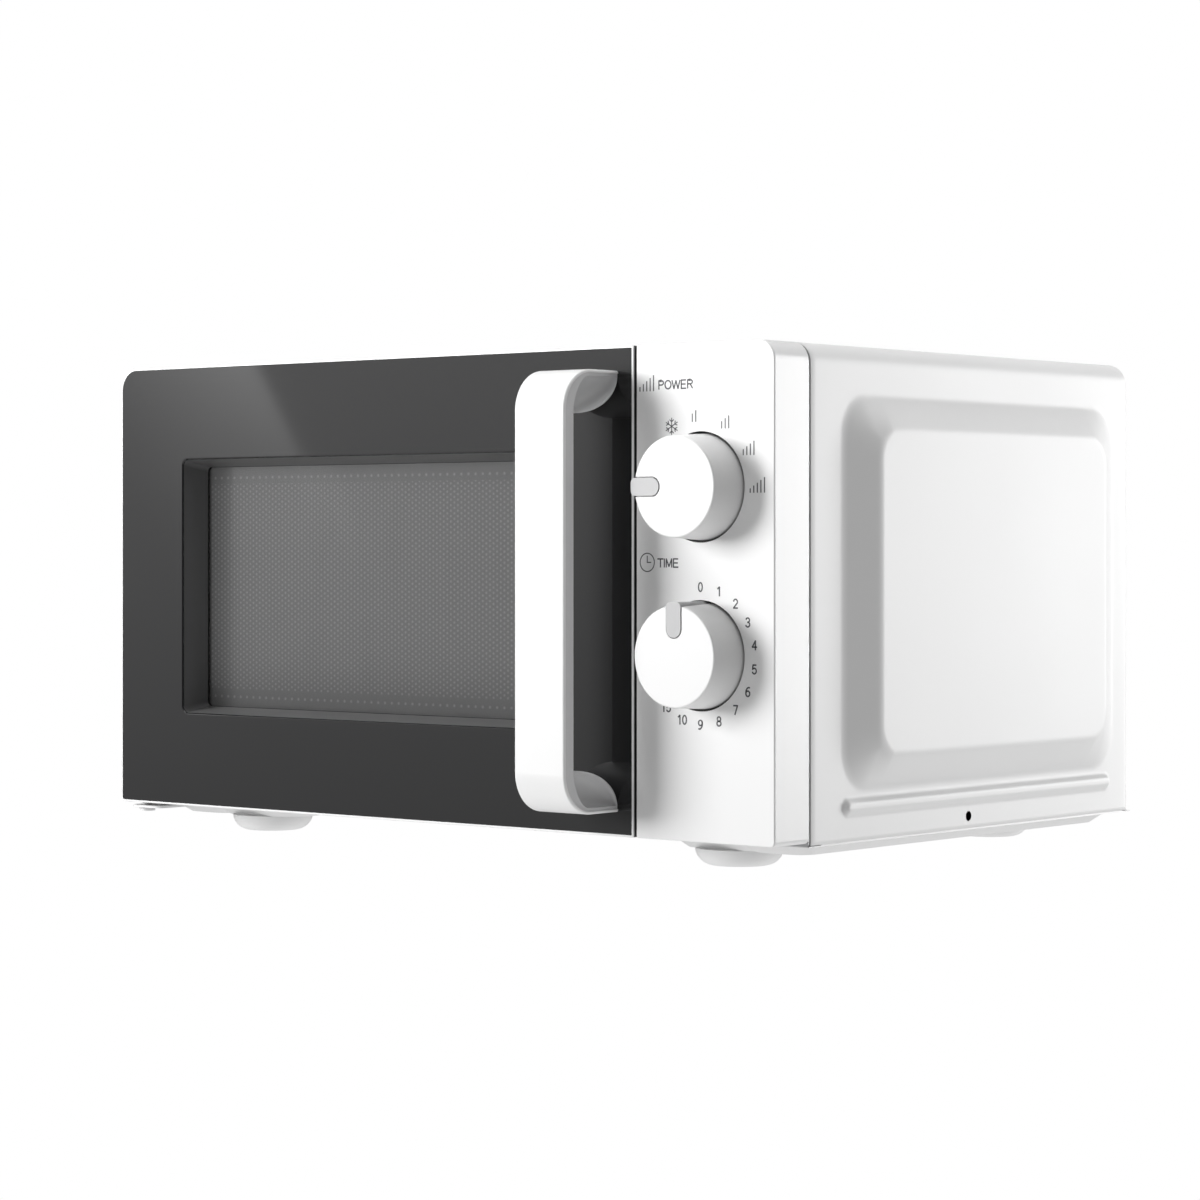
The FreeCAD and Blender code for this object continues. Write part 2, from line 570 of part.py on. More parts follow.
def knob_parts(name):
    """A control knob, its inlaid pointer and its spindle, with the pointer at its rest mark."""
    front, back = -KNOB_REACH, KNOB_POCKET - 1.0
    length = back - front
    body = Part.makeCone(KNOB_R_FRONT, KNOB_R_BASE, length, V(0, front, 0), V(0, 1, 0))
    rim = [e for e in body.Edges if e.BoundBox.YMax < front + 0.01]
    body = body.makeFillet(0.9, rim)
    wall = 3.8
    start = V(0, front + wall, 0)
    hollow = Part.makeCone(KNOB_R_FRONT - wall, KNOB_R_BASE - wall, length - wall, start, V(0, 1, 0))
    hub = rod((0, front + 2.0, 0), (0, 1, 0), length - 2.4, 6.5)
    half = POINTER_W / 2
    gap = 0.5
    floor = front + 2.8
    radii = (half + gap, half + gap, 0.3, 0.3)
    slot = prism("y", -half - gap, half + gap, POINTER_IN - gap, POINTER_OUT + 5, front - 1, floor, radii)
    side_slot = block(-half - gap, half + gap, front - 1, back + 1, KNOB_R_FRONT - 1.3, POINTER_OUT + 5)
    bore = rod((0, front + 4, 0), (0, 1, 0), length, SHAFT_R + 0.02)
    knob = joined([body.cut(hollow), hub]).cut(slot.multiFuse([side_slot, bore]))

    tip = 2.85
    face = prism("y", -half, half, POINTER_IN, POINTER_OUT, front - 0.4, floor, (half, half, tip, tip))
    leg_radii = (0.3, 0.3, tip - 0.4, tip - 0.4)
    leg = prism("y", -half, half, POINTER_OUT - tip, POINTER_OUT, front - 0.4, back, leg_radii)
    pointer = joined([face, leg])

    shaft = rod((0, front + 4.2, 0), (0, 1, 0), -front + BRACKET_Y + 5, SHAFT_R)
    placed = []
    for shape in (knob, pointer, shaft):
        shape.rotate(V(0, 0, 0), V(0, 1, 0), KNOB_TURN[name])
        shape.translate(V(KNOB_X, 0, KNOB_Z[name]))
        placed.append(shape)
    return placed


# ---- electrical small parts ----------------------------------------------------------------------
def noise_filter():
    """Mains filter board with its choke, capacitor and fuse, high at the back of the compartment."""
    board = block(345, 440, 214, SHROUD_Y, 214, 215.6)
    choke = tube((372, 245, 215.6), (0, 0, 1), 12, 13, 6)
    cap = block(396, 424, 236, 248, 215.6, 230)
    fuse = rod((394, 262, 219.6), (1, 0, 0), 28, 3.5)
    holder = [block(x, x + 3, 258.5, 265.5, 215.6, 219.6) for x in (396.0, 417.0)]
    return joined([board, choke, cap, fuse] + holder)


def thermal_cutouts():
    """Two disc thermostats: one on the magnetron's yoke, one on the cavity's roof."""
    on_yoke = rod((GUIDE_X1 + 20, 108, 192), (0, 1, 0), 4, 8)
    on_roof = rod((250, 240, CAV_Z1 + SHEET), (0, 0, 1), 5, 8)
    return group([on_yoke, on_roof])


def cord_gland():
    """Bush in the back sheet where the mains lead leaves the oven."""
    start = (GLAND_X, REAR_Y0 - 3, GLAND_Z)
    body = rod(start, (0, 1, 0), 3 + SHEET + 2, GLAND_R - 0.05)
    flange = rod((GLAND_X, REAR_Y0 - 3, GLAND_Z), (0, 1, 0), 3, GLAND_R + 2)
    bore = rod((GLAND_X, REAR_Y0 - 4, GLAND_Z), (0, 1, 0), 12, 4.0)
    return joined([body, flange]).cut(bore)


def case_screws():
    """Black pan-head screws: six through the rear flange, one low on each side."""
    screws = []
    for x, z in REAR_SCREWS:
        head = rod((x, DEPTH, z), (0, 1, 0), SCREW_HEAD, SCREW_HEAD_R)
        rim = [e for e in head.Edges if e.BoundBox.YMin > DEPTH + 1]
        screws.append(joined([head.makeFillet(1.0, rim), rod((x, DEPTH - 8, z), (0, 1, 0), 8, SCREW_R)]))
    side = joined([
        rod((FRONT_W - SHEET, SIDE_SCREW_Y, SIDE_SCREW_Z), (1, 0, 0), SHEET, 2.5),
        rod((FRONT_W - 8, SIDE_SCREW_Y, SIDE_SCREW_Z), (1, 0, 0), 8 - SHEET, SCREW_R - 0.02),
    ])
    return group(screws + [side, mirrored(side)])


# ---- latch board and switches --------------------------------------------------------------------
HOOK_H, BARB_DROP, LATCH_TRAVEL = 8.0, 4.5, 4.5
KEEPER_TOP = -HOOK_H / 2 - BARB_DROP - 0.3     # below the middle of a hook
SWITCH_Y0 = 48.0


def latch_board():
    """Moulded interlock board on the back of the front plate, with a keeper under each hook."""
    x0, x1 = HOOK_X0 - 10, HOOK_X1 + 7
    shapes = [block(x0, HOOK_X0 - 3.5, PLATE_Y1, 64, 26, 214)]
    for z in HOOK_Z:
        top = z + KEEPER_TOP
        shapes.append(block(x0, x1, PLATE_Y1, HOOK_TIP - 6.4, top - 10, top))
        shapes.append(block(x0, x1, PLATE_Y1, 64, top - 14, top - 10))
    return joined(shapes)


def door_switch(z):
    """Snap switch that feels the tip of one hook. Its plunger is a part of its own."""
    x0 = HOOK_X0 - 3.5
    body = prism("x", SWITCH_Y0, 64, z - 9, z + 19, x0, x0 + 10.3, (0.8,) * 4)
    bore = rod((HOOK_X0 + 2, SWITCH_Y0 - 1, z), (0, 1, 0), 7, 1.5)
    tabs = [block(HOOK_X0 + 1.6, HOOK_X0 + 2.4, 64, 70, z - 6 + n * 9, z - 2 + n * 9) for n in range(3)]
    return joined([body] + tabs).cut(bore)


def switch_plunger(z):
    """Switch button with 1.2 mm of travel."""
    y0 = HOOK_TIP + 0.8
    return rod((HOOK_X0 + 2, y0, z), (0, 1, 0), SWITCH_Y0 + 4.4 - y0, 1.4)


# ---- door ----------------------------------------------------------------------------------------
DOOR_RADII = (2.5, 1.0, 1.0, 12.0)
WALL, RIM = 2.2, 1.1
HINGE_Z = 232.6


def inset_door(inset, y0, y1):
    """The door's outline shrunk by inset, as a slab."""
    radii = tuple(max(r - inset, 0.4) for r in DOOR_RADII)
    return prism("y", inset, DOOR_W - inset, inset, FRONT_H - inset, y0, y1, radii)


def rounded_front(shape, radius):
    """A slab with its front edges rounded."""
    front = [e for e in shape.Edges if all(abs(v.Point.y) < 1e-6 for v in e.Vertexes)]
    return shape.makeFillet(radius, front)


def door_frame():
    """White moulded surround: a rim round the front panel, side walls, and the bosses for the hinge pins."""
    shell = rounded_front(inset_door(0, 0, DOOR_REAR), 0.6).cut(inset_door(RIM, -1, FRONT_T))
    shell = shell.cut(inset_door(WALL, FRONT_T - 0.5, DOOR_REAR + 1))
    lower = block(1.5, 17.0, 5.4, RECESS_Y, 1.0, 12.8)
    upper = block(2.4, 17.0, 5.4, RECESS_Y, 219.0, HINGE_Z).common(inset_door(1.0, 0, DOOR_REAR))
    shell = shell.multiFuse([lower, upper])
    pins = [rod((PIN_X, PIN_Y, z), (0, 0, 1), 10.5, PIN_R + PIN_SLACK) for z in (-1.0, 223.6)]
    hinge_slot = block(-1, 17.5, 5.6, DOOR_REAR + 1, HINGE_Z, HINGE_Z + 2.6)
    return shell.cut(hinge_slot.multiFuse(pins))


HANDLE_SCREW_Z = (HANDLE_Z0 + STRIP_T + LINER_T / 2, HANDLE_Z1 - STRIP_T - LINER_T / 2)
HANDLE_SCREW_R = 1.5
HANDLE_X = (HANDLE_X0 + HANDLE_X1) / 2


def door_front():
    """Black front panel with the window's sloping recess behind its opening."""
    panel = inset_door(RIM + 0.05, 0, FRONT_T)
    grow = 2.0
    x0, x1, z0, z1 = WINDOW
    low, high = outline("y", 0, *WINDOW, (3.5,) * 4), outline("y", RECESS_Y, *RECESS, (3.0,) * 4)
    funnel = Part.makeLoft([low, high], True, True)
    walls = prism("y", x0 - grow, x1 + grow, z0 - grow, z1 + grow, FRONT_T - 1, RECESS_Y, (5,) * 4)
    holes = [rod((HANDLE_X, -1, z), (0, 1, 0), 6, 1.8) for z in HANDLE_SCREW_Z]
    return panel.fuse(walls).removeSplitter().cut(funnel.multiFuse(holes))


def sheet_of_door(bounds, y0, thickness):
    """A thin sheet with rounded corners, across the door."""
    return prism("y", *bounds, y0, y0 + thickness, (4,) * 4)


def inner_window():
    """Clear sheet that closes the recess."""
    return sheet_of_door(SCREEN, RECESS_Y, 1.0)


def door_screen():
    """Perforated steel sheet behind the window. The perforation itself is too fine for this model."""
    return sheet_of_door(SCREEN, RECESS_Y + 1.0, 0.7)


def rear_film():
    """Clear film on the cavity side of the screen."""
    x0, x1, z0, z1 = SCREEN
    return sheet_of_door((x0 - 3, x1 + 3, z0 - 3, z1 + 3), RECESS_Y + 1.9, 0.4)


def ring_wall(x0, x1, z0, z1, y0, y1):
    """A one millimetre wall round a rectangle."""
    outer = prism("y", x0, x1, z0, z1, y0, y1, (3,) * 4)
    return outer.cut(prism("y", x0 + 1, x1 - 1, z0 + 1, z1 - 1, y0 - 1, y1 + 1, (2,) * 4))


def choke_frame():
    """Steel pan of the door round the screen, with the quarter-wave channel's walls."""
    x0, x1, z0, z1 = 13.0, 351.0, 13.0, 225.0
    y0, y1 = RECESS_Y + 1.0, DOOR_REAR
    plate = prism("y", x0, x1, z0, z1, y0, y0 + 0.9, (3,) * 4)
    opening = prism("y", *SCREEN, y0 - 1, y0 + 2, (4,) * 4)
    step = 16.0
    return joined([
        plate.cut(opening),
        ring_wall(x0, x1, z0, z1, y0, y1),
        ring_wall(x0 + step, x1 - step, z0 + step, z1 - step, y0, y1),
    ])


def choke_cover():
    """Plastic ring that closes the channel on the cavity side."""
    ring = prism("y", 10, 353, 10, 228, DOOR_REAR, DOOR_REAR + 1.6, (4,) * 4)
    return ring.cut(prism("y", 31, 333, 31, 207, DOOR_REAR - 1, DOOR_REAR + 3, (4,) * 4))


def handle_path(offset):
    """Side view of the handle's bar at an offset inside its outer face, from the door round to the door."""
    r = HANDLE_BEND - offset
    front, z0, z1 = -HANDLE_REACH + offset, HANDLE_Z0 + offset, HANDLE_Z1 - offset
    k = r * (1 - math.sqrt(0.5))
    return [
        Part.LineSegment(V(0, 0, z1), V(0, front + r, z1)).toShape(),
        Part.Arc(V(0, front + r, z1), V(0, front + k, z1 - k), V(0, front, z1 - r)).toShape(),
        Part.LineSegment(V(0, front, z1 - r), V(0, front, z0 + r)).toShape(),
        Part.Arc(V(0, front, z0 + r), V(0, front + k, z0 + k), V(0, front + r, z0)).toShape(),
        Part.LineSegment(V(0, front + r, z0), V(0, 0, z0)).toShape(),
    ]


def bent_bar(outer, inner, x0, x1):
    """A bar of the handle's side view between two offsets, from x0 to x1, ending flat on the door."""
    ends = [
        Part.LineSegment(V(0, 0, HANDLE_Z1 - outer), V(0, 0, HANDLE_Z1 - inner)).toShape(),
        Part.LineSegment(V(0, 0, HANDLE_Z0 + outer), V(0, 0, HANDLE_Z0 + inner)).toShape(),
    ]
    wire = Part.Wire(Part.__sortEdges__(handle_path(outer) + handle_path(inner) + ends))
    bar = Part.Face(wire).extrude(V(x1 - x0, 0, 0))
    bar.translate(V(x0, 0, 0))
    return bar


def handle_cover():
    """White outer strip of the handle."""
    return bent_bar(0.0, STRIP_T, HANDLE_X0, HANDLE_X1)


def gusset():
    """Web in the corner between the bar and the door at the top: a lens in side view, dished both sides."""
    y_c, z_c = -HANDLE_REACH + HANDLE_BEND, HANDLE_Z1 - HANDLE_BEND
    r = HANDLE_BEND - STRIP_T - LINER_T + 0.4
    drop = 18.0
    z_low = HANDLE_Z1 - drop
    low = V(0, y_c - math.sqrt(r ** 2 - (z_low - z_c) ** 2), z_low)
    high = V(0, 0, z_c + r)
    corner = V(0, y_c, z_c + r)
    inside = V(0, y_c - r * math.sqrt(0.5), z_c + r * math.sqrt(0.5))
    edges = [
        Part.Arc(low, V(0, -10.1, HANDLE_Z1 - 13.1), high).toShape(),
        Part.LineSegment(high, corner).toShape(),
        Part.Arc(corner, inside, low).toShape(),
    ]
    width = HANDLE_X1 - HANDLE_X0 - 2 * LINER_INSET
    web = Part.Face(Part.Wire(edges)).extrude(V(width, 0, 0))
    hollows = [Part.makeSphere(4.4, V(x, -21.0, HANDLE_Z1 - 11.2)) for x in (0, width)]
    web = web.cut(hollows[0].fuse(hollows[1]))
    web.translate(V(HANDLE_X0 + LINER_INSET, 0, 0))
    return web


def handle_liner():
    """Grey inner bar of the handle, with a dished web under each end."""
    bar = bent_bar(STRIP_T, STRIP_T + LINER_T, HANDLE_X0 + LINER_INSET, HANDLE_X1 - LINER_INSET)
    upper = gusset()
    lower = upper.mirror(V(0, 0, (HANDLE_Z0 + HANDLE_Z1) / 2), V(0, 0, 1))
    screws = [rod((HANDLE_X, -14, z), (0, 1, 0), 20, HANDLE_SCREW_R) for z in HANDLE_SCREW_Z]
    return joined([bar, upper, lower]).cut(screws[0].fuse(screws[1]))


def handle_screws():
    """Two screws from inside the door that hold the handle."""
    screws = []
    for z in HANDLE_SCREW_Z:
        screws.append(joined([
            rod((HANDLE_X, -12, z), (0, 1, 0), FRONT_T + 12, HANDLE_SCREW_R),
            rod((HANDLE_X, FRONT_T, z), (0, 1, 0), 2.4, 3.0),
        ]))
    return group(screws)


def lower_hinge():
    """Hinge plate under the door's left corner, with its pin."""
    plate = prism("z", 2.0, 26.0, 5.0, 30.5, -3.2, -2.0, (4, 4, 1, 1))
    pin = rod((PIN_X, PIN_Y, -2.0), (0, 0, 1), 9.0, PIN_R)
    head = rod((PIN_X, PIN_Y, -5.4), (0, 0, 1), 2.4, 4.4)
    return joined([plate, pin, head])


def upper_hinge():
    """Hinge plate in the slot of the door's top corner, with its pin down and a tab behind the front plate."""
    z0, z1 = HINGE_Z + 0.6, HINGE_Z + 1.8
    plate = prism("z", 5.6, 22.0, 7.0, PLATE_Y1 + SHEET, z0, z1, (2, 2, 0.3, 0.3))
    tab = block(5.6, 22.0, PLATE_Y1, PLATE_Y1 + SHEET, 222.0, z0)
    pin = rod((PIN_X, PIN_Y, 225.0), (0, 0, 1), z0 - 225.0, PIN_R)
    return joined([plate, tab, pin])


# ---- latch ---------------------------------------------------------------------------------------
BAR_X0, BAR_X1, BAR_Y0, BAR_Y1 = HOOK_X0 - 1.0, HOOK_X1 + 1.0, 9.0, 14.0
BAR_Z0, BAR_Z1 = 40.0, 198.0
SPRING_LOW, SPRING_R, WIRE_R = 16.0, 2.4, 0.4


def latch_hooks():
    """Moulded bar in the door's free edge with two hooks. It drops to hold the door."""
    shapes = [block(BAR_X0, BAR_X1, BAR_Y0, BAR_Y1, BAR_Z0, BAR_Z1)]
    for z in HOOK_Z:
        shapes.append(block(HOOK_X0, HOOK_X1, BAR_Y1 - 1, HOOK_TIP, z - HOOK_H / 2, z + HOOK_H / 2))
        shapes.append(block(HOOK_X0, HOOK_X1, HOOK_TIP - 6, HOOK_TIP, z - HOOK_H / 2 - BARB_DROP, z))
    return joined(shapes)


def latch_spring():
    """Extension spring that pulls the latch bar down."""
    height = BAR_Z0 - SPRING_LOW - 2 * WIRE_R
    helix = Part.makeHelix(height / 9, height, SPRING_R)
    section = Part.Wire(Part.makeCircle(WIRE_R, V(SPRING_R, 0, 0), V(0, 1, 0)))
    coil = Part.Wire(helix.Edges).makePipeShell([section], True, True)
    coil.translate(V((BAR_X0 + BAR_X1) / 2, (BAR_Y0 + BAR_Y1) / 2, SPRING_LOW + WIRE_R))
    return coil


def latch_guide():
    """Moulded channel in the door's free edge that the latch bar slides in, with the spring's foot below."""
    play = 0.3
    x0, x1, y0 = BAR_X0 - play - 1.2, DOOR_W - WALL, BAR_Y0 - play - 1.8
    low, high = WALL + 0.6, BAR_Z1 + 14
    shapes = [
        block(x0, x1, y0, BAR_Y0 - play, low, high),
        block(x0, BAR_X0 - play, y0, BAR_Y1 - 1.5, low, high),
        block(BAR_X1 + play, x1, y0, BAR_Y1 - 1.5, low, high),
        block(x0, x1, y0, BAR_Y1, low, SPRING_LOW),
    ]
    for z in (95.0, 135.0):
        shapes.append(block(x0, x1, BAR_Y1 + play, BAR_Y1 + play + 1.5, z, z + 8))
        shapes.append(block(x0, BAR_X0 - play, y0, BAR_Y1 + play + 1, z, z + 8))
        shapes.append(block(BAR_X1 + play, x1, y0, BAR_Y1 + play + 1, z, z + 8))
    return joined(shapes)


# ---- everything ----------------------------------------------------------------------------------
def main():
    """Builds and writes every sub-part."""
    parts = {
        "outer_case": outer_case(),
        "rear_panel": rear_panel(),
        "base_plate": base_plate(),
        "front_plate": front_plate(),
        "cavity": cavity(),
        "waveguide": waveguide(),
        "waveguide_cover": waveguide_cover(),
        "magnetron": magnetron(),
        "component_tray": component_tray(),
        "transformer_core": transformer_core(),
        "transformer_windings": transformer_windings(),
        "capacitor": capacitor(),
        "diode": diode(),
        "fan_shroud": fan_shroud(),
        "fan_motor": fan_motor(),
        "fan_blade": fan_blade(),
        "lamp_holder": lamp_holder(),
        "lamp_bulb": lamp_bulb(),
        "turntable_motor": turntable_motor(),
        "turntable_coupler": turntable_coupler(),
        "glass_tray": glass_tray(),
        "roller_ring": roller_ring(),
        "control_panel": control_panel(),
        "panel_bracket": panel_bracket(),
        "timer_unit": timer_unit(),
        "power_selector": power_selector(),
        "noise_filter": noise_filter(),
        "thermal_cutouts": thermal_cutouts(),
        "cord_gland": cord_gland(),
        "case_screws": case_screws(),
        "feet": group([foot(x, y) for x in FOOT_X for y in FOOT_Y]),
        "latch_board": latch_board(),
        "door_frame": door_frame(),
        "door_front": door_front(),
        "inner_window": inner_window(),
        "door_screen": door_screen(),
        "rear_film": rear_film(),
        "choke_frame": choke_frame(),
        "choke_cover": choke_cover(),
        "handle_cover": handle_cover(),
        "handle_liner": handle_liner(),
        "handle_screws": handle_screws(),
        "lower_hinge": lower_hinge(),
        "upper_hinge": upper_hinge(),
        "latch_hooks": latch_hooks(),
        "latch_spring": latch_spring(),
        "latch_guide": latch_guide(),
    }
    for n in range(3):
        parts[f"roller_{n + 1}"] = roller(n)
    for name in KNOB_Z:
        knob, pointer, shaft = knob_parts(name)
        parts[f"{name}_knob"] = knob
        parts[f"{name}_pointer"] = pointer
        parts[f"{name}_shaft"] = shaft
    for level, z in zip(("lower", "upper"), HOOK_Z):
        parts[f"{level}_switch"] = door_switch(z)
        parts[f"{level}_switch_plunger"] = switch_plunger(z)
    for name, shape in parts.items():
        export(name, shape)


main()
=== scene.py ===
"""Looks of a countertop microwave oven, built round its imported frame.

Positions in this file are worked out in the bench frame of the oven, in millimetres: X from the left edge of
the front, Y back from the front face, Z up from the underside of the front. Bench.place() takes them to the
row frame, in metres.
"""

import logging
import math
from dataclasses import dataclass, field
from enum import Enum
from typing import Callable

import bpy
import numpy as np
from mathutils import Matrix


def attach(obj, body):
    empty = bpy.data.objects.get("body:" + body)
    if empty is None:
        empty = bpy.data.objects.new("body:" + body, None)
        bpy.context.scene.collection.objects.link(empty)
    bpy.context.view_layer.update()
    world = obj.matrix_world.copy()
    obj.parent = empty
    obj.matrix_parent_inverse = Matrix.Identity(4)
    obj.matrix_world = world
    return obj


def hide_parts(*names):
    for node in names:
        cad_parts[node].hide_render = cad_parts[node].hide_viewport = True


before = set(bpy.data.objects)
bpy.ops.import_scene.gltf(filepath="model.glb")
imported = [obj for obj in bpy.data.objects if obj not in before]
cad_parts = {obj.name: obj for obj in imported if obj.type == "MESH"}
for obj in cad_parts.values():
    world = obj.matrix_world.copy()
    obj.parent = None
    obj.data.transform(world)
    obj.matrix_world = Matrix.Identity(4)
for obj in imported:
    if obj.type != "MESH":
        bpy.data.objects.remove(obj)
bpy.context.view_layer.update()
log = logging.getLogger("oven")

MM = 0.001

# Axes of the two controls, in bench millimetres.
DIAL_X = 406.9
POWER_Z = 169.1
TIMER_Z = 88.8


# ---- the bench frame and the surfaces -------------------------------------------------------------
@dataclass(frozen=True)
class Bench:
    """Where the bench frame's origin is in the row frame, and the oven's leading sizes."""

    origin: tuple[float, float, float] = (-225.5, -140.4, 15.5)
    width: float = 451.0
    height: float = 238.0
    depth: float = 319.0

    def place(self, points: np.ndarray) -> np.ndarray:
        """Bench millimetres to row metres.

        Args:
            points: any array whose last axis is x, y, z.

        Returns:
            The same array in the row frame, in metres.
        """
        return (np.asarray(points, float) + np.array(self.origin)) * MM


BENCH = Bench()


class LatticeRow(Enum):
    """The two kinds of row in a triangular pattern, by the share of a pitch that each is shifted."""

    EVEN = 0.0
    ODD = 0.5


def rounded_outline(low: tuple[float, float], high: tuple[float, float],
                    radii: tuple[float, float, float, float], corner_steps: int = 8) -> np.ndarray:
    """A rectangle with rounded corners, walked from its low-low corner towards +first axis.

    Each corner is a quarter circle about its own centre, and each side is one straight step.

    Args:
        low: lowest corner, on the outline's two axes.
        high: highest corner.
        radii: corner radii, in walking order.
        corner_steps: divisions of each quarter circle.

    Returns:
        An (n, 2) array. Outlines made with the same steps have the same n, so they can be lofted.
    """
    (u0, v0), (u1, v1) = low, high
    a, b, c, d = radii
    centres = np.array([(u0 + a, v0 + a), (u1 - b, v0 + b), (u1 - c, v1 - c), (u0 + d, v1 - d)])
    starts = np.radians([180.0, 270.0, 0.0, 90.0])
    turn = np.linspace(0.0, math.pi / 2, corner_steps + 1)
    corners = []
    for centre, start, radius in zip(centres, starts, radii):
        angle = start + turn
        corners.append(centre + radius * np.stack([np.cos(angle), np.sin(angle)], 1))
    return np.concatenate(corners)


def stacked(outlines: list[np.ndarray], depths: list[float]) -> np.ndarray:
    """Outlines of x and z, set one behind another.

    Args:
        outlines: (n, 2) arrays of one length.
        depths: y of each outline.

    Returns:
        An (outline, point, 3) array of bench positions.
    """
    grid = np.zeros((len(outlines), len(outlines[0]), 3))
    grid[..., 0] = np.stack(outlines)[..., 0]
    grid[..., 1] = np.asarray(depths)[:, None]
    grid[..., 2] = np.stack(outlines)[..., 1]
    return grid


def arc_steps(count: int) -> tuple[np.ndarray, np.ndarray]:
    """One minus cosine and sine over a quarter turn: how far a rounded edge has come in, and on."""
    turn = np.linspace(0.0, math.pi / 2, count + 1)
    return 1 - np.cos(turn), np.sin(turn)


def soft_plus(x: np.ndarray, width: float) -> np.ndarray:
    """Zero below -width, x above width, and a parabola between, so the kink is rounded."""
    middle = (x + width) ** 2 / (4 * width)
    return np.where(x < -width, 0.0, np.where(x > width, x, middle))


def soft_ramp(x: np.ndarray, width: float = 0.12) -> np.ndarray:
    """Nought to one as x goes from nought to one, straight with both ends rounded over width."""
    return soft_plus(x, width) - soft_plus(x - 1, width)


def box_distance(u: np.ndarray, v: np.ndarray, low: tuple[float, float], high: tuple[float, float],
                 radius: float) -> np.ndarray:
    """Signed distance to a rounded rectangle.

    It is the length of the positive part of the offset from a corner's centre, less the corner's radius.

    Args:
        u: first coordinate of each point.
        v: second coordinate.
        low: lowest corner of the rectangle.
        high: highest corner.
        radius: corner radius.

    Returns:
        Distances, negative inside.
    """
    du = np.abs(u - (low[0] + high[0]) / 2) - (high[0] - low[0]) / 2 + radius
    dv = np.abs(v - (low[1] + high[1]) / 2) - (high[1] - low[1]) / 2 + radius
    outside = np.hypot(np.maximum(du, 0), np.maximum(dv, 0))
    return outside + np.minimum(np.maximum(du, dv), 0) - radius


@dataclass
class Surface:
    """A grid of bench positions that becomes one mesh."""

    points: np.ndarray
    loop_rows: bool = False
    loop_columns: bool = True
    cap_first: bool = False
    cap_last: bool = False
    flip: bool = False

    def faces(self, offset: int) -> list[tuple[int, ...]]:
        """Quads between neighbouring rows and columns, with a flat cap on a closed end.

        Args:
            offset: index of the grid's first vertex in the mesh.

        Returns:
            The faces as vertex indices.
        """
        rows, columns = self.points.shape[:2]
        row = np.arange(rows if self.loop_rows else rows - 1)[:, None]
        column = np.arange(columns if self.loop_columns else columns - 1)[None, :]
        next_row, next_column = (row + 1) % rows, (column + 1) % columns
        quads = np.stack([row * columns + column, row * columns + next_column,
                          next_row * columns + next_column, next_row * columns + column], -1).reshape(-1, 4)
        if self.flip:
            quads = quads[:, ::-1]
        made = [tuple(q) for q in (quads + offset).tolist()]
        first, last = np.arange(columns), np.arange(columns) + (rows - 1) * columns
        if self.cap_first:
            made.append(tuple((first if self.flip else first[::-1]) + offset))
        if self.cap_last:
            made.append(tuple((last[::-1] if self.flip else last) + offset))
        return made


def make_piece(name: str, surfaces: list[Surface], finish: "Finish", body: str,
               replaces: tuple[str, ...] = (), sharp_degrees: float = 50.0) -> bpy.types.Object:
    """One piece from one or more surfaces, dressed and riding on its body.

    Args:
        name: the piece's name.
        surfaces: grids that are put in one mesh.
        finish: its material.
        body: the CAD body it rides on.
        replaces: CAD nodes it stands for.
        sharp_degrees: edges that turn more than this stay crisp.

    Returns:
        The new object, at the origin.
    """
    mesh = bpy.data.meshes.new(name)
    offset, faces = 0, []
    for surface in surfaces:
        faces += surface.faces(offset)
        offset += surface.points.shape[0] * surface.points.shape[1]
    points = np.concatenate([BENCH.place(s.points).reshape(-1, 3) for s in surfaces])
    mesh.from_pydata(points.tolist(), [], faces)
    mesh.validate()
    mesh.shade_smooth()
    mesh.set_sharp_from_angle(angle=math.radians(sharp_degrees))
    mesh.materials.append(finish.material())
    piece = bpy.data.objects.new(name, mesh)
    bpy.context.scene.collection.objects.link(piece)
    weighted = piece.modifiers.new("flat faces stay flat", "WEIGHTED_NORMAL")
    weighted.keep_sharp = True
    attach(piece, body)
    if replaces:
        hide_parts(*replaces)
    log.info("%s: %d vertices on %s", name, len(mesh.vertices), body)
    return piece


def thicken(piece: bpy.types.Object, thickness: float) -> None:
    """Gives an open sheet its thickness, inwards from the surface that was drawn.

    Args:
        piece: the sheet.
        thickness: in millimetres.
    """
    solid = piece.modifiers.new("sheet thickness", "SOLIDIFY")
    solid.thickness = thickness * MM
    solid.offset = -1.0
    solid.use_even_offset = True
    piece.modifiers.move(len(piece.modifiers) - 1, 0)


